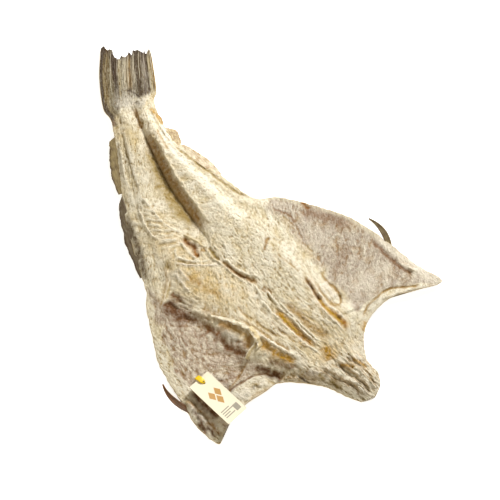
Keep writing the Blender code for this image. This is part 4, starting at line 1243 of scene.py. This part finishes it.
def scatterTree():
    tree, given, made = newTree("scatter", [
        ("Density", "NodeSocketFloat"), ("Seed", "NodeSocketInt"), ("Smallest", "NodeSocketFloat"),
        ("Largest", "NodeSocketFloat"), ("Item", "NodeSocketObject"), ("Material", "NodeSocketMaterial")])
    nodes, links = tree.nodes, tree.links
    spread = nodes.new("GeometryNodeDistributePointsOnFaces")
    weight = nodes.new("GeometryNodeInputNamedAttribute")
    weight.data_type = "FLOAT"
    weight.inputs["Name"].default_value = "scatter"
    amount = nodes.new("ShaderNodeMath")
    amount.operation = "MULTIPLY"
    item = nodes.new("GeometryNodeObjectInfo")
    place = nodes.new("GeometryNodeInstanceOnPoints")
    size = nodes.new("FunctionNodeRandomValue")
    turn = nodes.new("FunctionNodeRandomValue")
    turn.data_type = "FLOAT_VECTOR"
    turn.inputs[0].default_value = (0, 0, 0)
    turn.inputs[1].default_value = (math.tau, math.tau, math.tau)
    real = nodes.new("GeometryNodeRealizeInstances")
    paintIt = nodes.new("GeometryNodeSetMaterial")
    links.new(given.outputs["Geometry"], spread.inputs["Mesh"])
    links.new(given.outputs["Density"], amount.inputs[0])
    links.new(weight.outputs["Attribute"], amount.inputs[1])
    links.new(amount.outputs[0], spread.inputs["Density"])
    links.new(given.outputs["Seed"], spread.inputs["Seed"])
    links.new(given.outputs["Item"], item.inputs["Object"])
    links.new(spread.outputs["Points"], place.inputs["Points"])
    links.new(item.outputs["Geometry"], place.inputs["Instance"])
    links.new(given.outputs["Smallest"], size.inputs[2])
    links.new(given.outputs["Largest"], size.inputs[3])
    links.new(given.outputs["Seed"], size.inputs["Seed"])
    links.new(size.outputs[1], place.inputs["Scale"])
    links.new(given.outputs["Seed"], turn.inputs["Seed"])
    links.new(turn.outputs[0], place.inputs["Rotation"])
    links.new(place.outputs["Instances"], real.inputs["Geometry"])
    links.new(real.outputs["Geometry"], paintIt.inputs["Geometry"])
    links.new(given.outputs["Material"], paintIt.inputs["Material"])
    links.new(paintIt.outputs["Geometry"], made.inputs["Geometry"])
    return tree


def cordTree():
    # a round cord along every line, as thick as its "girth" says
    tree, given, made = newTree("cord", [("Sides", "NodeSocketInt"), ("Material", "NodeSocketMaterial")])
    nodes, links = tree.nodes, tree.links
    line = nodes.new("GeometryNodeMeshToCurve")
    girth = nodes.new("GeometryNodeInputNamedAttribute")
    girth.data_type = "FLOAT"
    girth.inputs["Name"].default_value = "girth"
    ring = nodes.new("GeometryNodeCurvePrimitiveCircle")
    ring.inputs["Radius"].default_value = 1.0
    tube = nodes.new("GeometryNodeCurveToMesh")
    tube.inputs["Fill Caps"].default_value = True
    real = nodes.new("GeometryNodeRealizeInstances")
    paintIt = nodes.new("GeometryNodeSetMaterial")
    links.new(given.outputs["Geometry"], line.inputs["Mesh"])
    links.new(line.outputs["Curve"], tube.inputs["Curve"])
    links.new(girth.outputs["Attribute"], tube.inputs["Scale"])
    links.new(given.outputs["Sides"], ring.inputs["Resolution"])
    links.new(ring.outputs["Curve"], tube.inputs["Profile Curve"])
    links.new(tube.outputs["Mesh"], real.inputs["Geometry"])
    links.new(real.outputs["Geometry"], paintIt.inputs["Geometry"])
    links.new(given.outputs["Material"], paintIt.inputs["Material"])
    links.new(paintIt.outputs["Geometry"], made.inputs["Geometry"])
    return tree


def cordPiece(name, lines, sides, material):
    # lines: points (mm), girths (mm) and colours of every cord
    holder = bpy.data.meshes.new(name)
    points = np.concatenate([line[0] for line in lines]) * mm
    edges, first = [], 0
    for line in lines:
        edges += [(first + k, first + k + 1) for k in range(len(line[0]) - 1)]
        first += len(line[0])
    holder.from_pydata(points, edges, [])
    girth = holder.attributes.new("girth", "FLOAT", "POINT")
    girth.data.foreach_set("value", np.concatenate([line[1] for line in lines]) * mm)
    tint = holder.attributes.new("tint", "FLOAT_COLOR", "POINT")
    full = np.ones((len(points), 4))
    full[:, :3] = np.concatenate([line[2] for line in lines])
    tint.data.foreach_set("color", full.ravel())
    source = bpy.data.objects.new(name + "Lines", holder)
    piece = applyTree(name, source, cordTree(), {"Sides": sides, "Material": material})
    bpy.data.objects.remove(source)
    piece.data.shade_smooth()
    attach(closeUp(piece), "root")
    return piece


# thin cords of sinew and dried skin that lie on the flesh: the mark each one follows, how thick it
# is (mm) and its colour
cords = {
    "backLip": (1.0, "bright"), "backLipLeft": (0.8, "cream"), "backBranch": (0.9, "bright"),
    "sinewLeft": (1.1, "bright"), "sinewMiddle": (1.1, "bright"), "sinewThin": (0.9, "bright"),
    "tendon": (0.9, "white"), "tendonUpper": (0.8, "bright"), "veilLeft": (0.7, "white"),
    "veilRight": (0.7, "white"), "cavityLip": (0.9, "straw"), "cavityMainLeft": (0.9, "bright"),
    "cavityMainRight": (0.9, "straw"), "loinEdgeLip": (1.1, "bright"), "roll": (1.4, "bright"),
    "fissureRight": (1.2, "bright"), "fissureLeft": (0.8, "bright"), "slantFoldA": (0.55, "cream"),
    "slantFoldB": (0.55, "cream"), "leftWeb1": (0.7, "bright"), "leftWeb2": (0.7, "bright"),
    "rightWhiteLine": (0.8, "white"), "flapFoldInner": (0.7, "bright"),
}
print("laying the cords")
cordLines = []
for number, (name, mark) in enumerate(marks.items()):
    if name not in cords:
        continue
    thick, inkName = cords[name]
    line = wandering(mark["path"], 1.3, mark.get("wander", 0.9), 300 + number)
    lengthwise = np.linspace(0, 1, len(line))
    taper = smoothStep(np.minimum(lengthwise, 1 - lengthwise) / 0.14)
    girths = thick * (0.25 + 0.75 * taper) * (1 + 0.45 * bumps(line[:, 0], line[:, 1], 4.0, 720 + number))
    heights = np.array([heightAt(x, y) for x, y in line]) - 0.5 * thick - 1.2 * (1 - taper)
    heights += 0.7 * np.minimum(bumps(line[:, 0], line[:, 1], 7.0, 740 + number), 0.3)
    tone = np.empty((len(line), 3))
    tone[:] = inks[inkName]
    paint(tone, "ochre", 0.5 * np.clip(bumps(line[:, 0], line[:, 1], 8.0, 760 + number), 0, 1))
    cordLines.append((np.column_stack([line, heights]), girths, tone))
cordPiece("sinewCords", cordLines, 8, tornMaterial)

# the tail fin's bony rays, from the root of the fin to its ragged end
tailRays = {"count": 26, "girth": 0.6, "start": 1.55}
print("laying the tail rays")
chance = np.random.default_rng(77)
rayLines = []
for number in range(tailRays["count"]):
    column = (number + 0.5 + chance.uniform(-0.25, 0.25)) / tailRays["count"] * (topCount - 1)
    column = min(max(column, 3), topCount - 4)
    first = int((places < tailRays["start"] + chance.uniform(-0.3, 0.2)).sum())
    rows = np.arange(0, first)
    sway = column + 1.6 * bumps(rows / 9.0, rows * 0.0 + number * 5, 1.0, 781)
    low = np.clip(np.floor(sway).astype(int), 0, topCount - 2)
    part = np.clip(sway - low, 0, 1)[:, None]
    line = top[rows, low] * (1 - part) + top[rows, low + 1] * part
    lengthwise = np.linspace(0, 1, len(line))
    girths = tailRays["girth"] * chance.uniform(0.7, 1.5) * (0.3 + 0.7 * smoothStep((1 - lengthwise) / 0.25))
    line[:, 2] += 0.25 - 1.1 * smoothStep((lengthwise - 0.75) / 0.25)
    tone = colour[rows, low] * 1.1
    paint(tone, "cream", np.full(len(line), chance.uniform(-0.3, 0.6)))
    paint(tone, "dark", smoothStep((0.16 - lengthwise) / 0.12) * chance.uniform(0.3, 1.0))
    rayLines.append((line, girths, tone))
cordPiece("tailRays", rayLines, 6, finMaterial)


# salt that stays in the hollows of the flesh
salt = {"density": 9000.0, "seed": 12, "smallest": 0.5, "largest": 1.3, "grain": 0.62}
print("scattering the salt")
grains = bmesh.new()
bmesh.ops.create_cube(grains, size=salt["grain"] * mm)
for corner in grains.verts:
    corner.co *= 1.0 - 0.12 * ((corner.index * 7) % 5)
grainMesh = bpy.data.meshes.new("grain")
grains.to_mesh(grainMesh)
grains.free()
grainItem = bpy.data.objects.new("grain", grainMesh)
saltWeight = np.clip(hollow * 1.2, 0, 1) * (0.4 + 0.6 * (1 - skinShare)) * (1 - onFin) + 0.04
saltWeight[:, [0, 1, -2, -1]] = 0
setFloat(codFlesh, "scatter", inOrder(saltWeight, np.zeros(rest.shape[:2])))
saltGrains = applyTree("saltGrains", codFlesh, scatterTree(), {
    "Density": salt["density"], "Seed": salt["seed"], "Smallest": salt["smallest"],
    "Largest": salt["largest"], "Item": grainItem, "Material": saltMaterial})
bpy.data.objects.remove(grainItem)
codFlesh.data.attributes.remove(codFlesh.data.attributes["scatter"])
layer = saltGrains.data.color_attributes.new("tint", "FLOAT_COLOR", "POINT")
layer.data.foreach_set("color", np.tile([*inks["salt"], 1.0], len(saltGrains.data.vertices)))
print("salt", len(saltGrains.data.polygons), "faces")
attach(saltGrains, "root")

# paper tag: rounded card with a hole, slightly curled, with a plain print of lozenges and bars
tag = {"width": 40.0, "height": 86.0, "thick": 0.8, "place": (-166.8, -217.0, 21.5),
       "tilt": (-8.0, 15.0, 8.3),
       "hole": (2.0, 33.0), "radius": 2.6, "corner": 2.0, "curl": 0.9}
tagWay = (Matrix.Translation(Vector(tag["place"]))
          @ Euler([math.radians(angle) for angle in tag["tilt"]], "YXZ").to_matrix().to_4x4())


def onTag(points):
    # from the card's own flat place to the fish, with the card's slight curl
    result = []
    for x, y, z in points:
        bent = z + tag["curl"] * ((x / tag["width"] * 2) ** 2 - 0.4) * 0.6 + tag["curl"] * (
            (y / tag["height"] * 2) ** 2 - 0.4) * 0.5
        result.append(tuple(tagWay @ Vector((x, y, bent))))
    return result


cardMaterial = plainShader("card", roughness=0.6, grain=900.0, dust=0.05, crack=0.03, depth=0.04)
goldMaterial = plainShader("goldPrint", roughness=0.4, grain=1200.0, dust=0.1, crack=0.0, depth=0.04)
greyMaterial = plainShader("greyPrint", roughness=0.6, grain=1200.0, dust=0.1, crack=0.0, depth=0.03)
strapMaterial = plainShader("strapPlastic", roughness=0.3, grain=500.0, dust=0.08, crack=0.0, depth=0.06)


def plate(name, outline, low, high, material, inkName, hole=None, cell=3.0):
    # flat piece of the card's local frame between two heights, subdivided so that it can curl
    shape = bmesh.new()
    corners = [shape.verts.new((x, y, low)) for x, y in outline]
    edges = [shape.edges.new((a, b)) for a, b in zip(corners, corners[1:] + corners[:1])]
    if hole:
        (hx, hy), radius = hole
        loop = [shape.verts.new((hx + radius * math.cos(a), hy + radius * math.sin(a), low))
                for a in np.linspace(0, math.tau, 24, endpoint=False)]
        edges += [shape.edges.new((a, b)) for a, b in zip(loop, loop[1:] + loop[:1])]
    bmesh.ops.triangle_fill(shape, edges=edges, use_beauty=True, use_dissolve=False)
    xs, ys = [x for x, y in outline], [y for x, y in outline]
    for normal, low_, high_ in (((1, 0, 0), min(xs), max(xs)), ((0, 1, 0), min(ys), max(ys))):
        for place in np.arange(low_ + cell, high_ - 0.2, cell):
            bmesh.ops.bisect_plane(shape, geom=shape.verts[:] + shape.edges[:] + shape.faces[:], dist=1e-5,
                                   plane_co=tuple(place * n for n in normal), plane_no=normal)
    grown = bmesh.ops.extrude_face_region(shape, geom=shape.faces[:])
    for item in grown["geom"]:
        if isinstance(item, bmesh.types.BMVert):
            item.co.z = high
    bmesh.ops.recalc_face_normals(shape, faces=shape.faces)
    data = bpy.data.meshes.new(name)
    shape.to_mesh(data)
    shape.free()
    spots = np.array(onTag([tuple(v.co) for v in data.vertices])) * mm
    data.vertices.foreach_set("co", spots.ravel())
    data.materials.append(material)
    layer = data.color_attributes.new("tint", "FLOAT_COLOR", "POINT")
    layer.data.foreach_set("color", np.tile([*inks[inkName], 1.0], len(data.vertices)))
    result = bpy.data.objects.new(name, data)
    bpy.context.scene.collection.objects.link(result)
    return closeUp(result)


def roundedBox(left, right, low, high, corner, steps=5):
    points = []
    for cx, cy, start in ((right - corner, high - corner, 0), (left + corner, high - corner, 90),
                          (left + corner, low + corner, 180), (right - corner, low + corner, 270)):
        for angle in np.radians(np.linspace(start, start + 90, steps)):
            points.append((cx + corner * math.cos(angle), cy + corner * math.sin(angle)))
    return points


print("making the tag")
inks.update(card=ink(228, 222, 200), gold=ink(176, 130, 44), print=ink(150, 146, 132),
            strap=ink(232, 196, 24),
            hole=ink(60, 44, 16))
halfW, halfH, halfT = tag["width"] / 2, tag["height"] / 2, tag["thick"] / 2
tagCard = plate("tagCard", roundedBox(-halfW, halfW, -halfH, halfH, tag["corner"]), -halfT, halfT,
                cardMaterial, "card", hole=(tag["hole"], tag["radius"]))
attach(tagCard, "root")
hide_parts("paper_tag")
prints = {
    "gold": [[(3 + dx, 2 + dy + h) if k % 2 else (3 + dx + w * (1 if k == 0 else -1), 2 + dy)
              for k, h in ((0, 0), (1, 9), (2, 0), (3, -9))]
             for dx, dy, w in ((-8, 6, 5.5), (4, 6, 5.5), (-2, -6, 5.5))],
    "grey": [roundedBox(-15, -15 + width, y, y + 1.7, 0.5, 3) for width, y in (
        (17, -22), (22, -26), (13, -30), (19, -34))] + [roundedBox(6, 15, -36, -24, 1.0, 3)],
}
stamped = {}
for inkName, material, shapes in (("gold", goldMaterial, prints["gold"]),
                                  ("print", greyMaterial, prints["grey"])):
    items = [plate("print", outline, halfT - 0.1, halfT + 0.12, material, inkName, cell=4.0)
             for outline in shapes]
    stamped[inkName] = joinPieces("tagPrint_" + inkName, items)
    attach(stamped[inkName], "root")

# yellow strap through the hole, bent over the card's top edge
strap = {"path": [(2.0, 33.0, -1.8, 0.42), (2.0, 33.2, 1.4, 0.5), (1.6, 37.0, 2.6, 1.0),
                  (1.0, 42.0, 2.6, 1.0), (0.4, 46.4, 1.4, 0.9), (0.0, 48.0, -2.4, 0.8)],
         "width": 9.0, "thick": 2.2, "around": 24}
rows = spline(strap["path"], np.linspace(0, len(strap["path"]) - 1, 41))
way = np.gradient(rows[:, :3], axis=0)
way /= np.linalg.norm(way, axis=1, keepdims=True)
sideways = np.array([1.0, 0.0, 0.0]) - way * way[:, :1]
sideways /= np.linalg.norm(sideways, axis=1, keepdims=True)
upwards = np.cross(sideways, way)
angles = np.linspace(0, math.tau, strap["around"], endpoint=False)


def squared(value, power=0.55):
    return np.sign(value) * np.abs(value) ** power


halfWide = strap["width"] / 2 * rows[:, 3:4] * (1 + 0.05 * np.sin(np.linspace(0, 9, 41)))[:, None]
ring = (rows[:, None, :3] + sideways[:, None] * (squared(np.cos(angles)) * halfWide)[..., None]
        + upwards[:, None] * (squared(np.sin(angles)) * strap["thick"] / 2)[None, :, None])
faces = gridFaces(0, 41, strap["around"], strap["around"], wrap=True)
faces.append(list(range(strap["around"])))
faces.append([40 * strap["around"] + k for k in reversed(range(strap["around"]))])
tone = np.empty((41 * strap["around"], 3))
tone[:] = inks["strap"]
tagStrap = closeUp(makeObject("tagStrap", onTag(ring.reshape(-1, 3)), faces, strapMaterial, tone))
stud = plate("stud", [(2.0 + 1.7 * math.cos(a), 34.6 + 1.7 * math.sin(a))
                      for a in np.linspace(0, math.tau, 24, endpoint=False)], 2.2, 3.3, strapMaterial, "hole")
tagStrap = joinPieces("tagStrap", [tagStrap, stud])
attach(tagStrap, "root")
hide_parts("tag_strap")

# floor, light and camera
print("setting the stage")
stage = {"floor": 6.0, "glow": 0.7, "world": 0.29, "sunPlace": (2.0, 0.7, 1.65), "sunSize": 0.55,
         "sunPower": 103.0, "fillPlace": (-1.6, -0.7, 1.4), "fillSize": 0.8, "fillPower": 14.0}
bpy.ops.mesh.primitive_plane_add(size=stage["floor"], location=(0, 0, -0.0004))
floor = bpy.context.object
floor.name = "floor"
floorMaterial = bpy.data.materials.new("paper")
floorMaterial.use_nodes = True
floorShader = floorMaterial.node_tree.nodes["Principled BSDF"]
floorShader.inputs["Base Color"].default_value = (0.9, 0.9, 0.9, 1)
floorShader.inputs["Roughness"].default_value = 0.9
floorShader.inputs["Emission Color"].default_value = (1, 1, 1, 1)
floorShader.inputs["Emission Strength"].default_value = stage["glow"]
floor.data.materials.append(floorMaterial)


def areaLight(name, place, size, power, colour):
    data = bpy.data.lights.new(name, "AREA")
    data.shape = "DISK"
    data.size = size
    data.energy = power
    data.color = colour
    lamp = bpy.data.objects.new(name, data)
    lamp.location = place
    lamp.rotation_euler = (-Vector(place)).to_track_quat("-Z", "Y").to_euler()
    bpy.context.scene.collection.objects.link(lamp)


areaLight("key", stage["sunPlace"], stage["sunSize"], stage["sunPower"], (1.0, 0.98, 0.95))
areaLight("fill", stage["fillPlace"], stage["fillSize"], stage["fillPower"], (1.0, 0.92, 0.76))
world = bpy.data.worlds.new("studio")
world.use_nodes = True
sky = world.node_tree.nodes["Background"]
sky.inputs["Color"].default_value = (1.0, 0.87, 0.64, 1)
sky.inputs["Strength"].default_value = stage["world"]
bpy.context.scene.world = world
bpy.context.scene.view_settings.view_transform = "Standard"

shot = {"azimuth": -38.0, "elevation": 76.0, "distance": 2.22, "lens": 100.0, "sensor": 36.0,
        "aim": (-0.001, -0.014, 0.010), "right": -0.0546, "up": 0.0292}
turn, rise = math.radians(shot["azimuth"]), math.radians(shot["elevation"])
back = Vector((math.sin(turn) * math.cos(rise), -math.cos(turn) * math.cos(rise), math.sin(rise)))
toRight = (-back).cross(Vector((0, 0, 1))).normalized()
upward = toRight.cross(-back)
step = shot["sensor"] / shot["lens"] * shot["distance"]
cameraData = bpy.data.cameras.new("camera")
cameraData.lens = shot["lens"]
cameraData.sensor_width = shot["sensor"]
camera = bpy.data.objects.new("camera", cameraData)
camera.location = (Vector(shot["aim"]) + back * shot["distance"]
                   - toRight * shot["right"] * step - upward * shot["up"] * step)
camera.rotation_euler = back.to_track_quat("Z", "Y").to_euler()
bpy.context.scene.collection.objects.link(camera)
bpy.context.scene.camera = camera
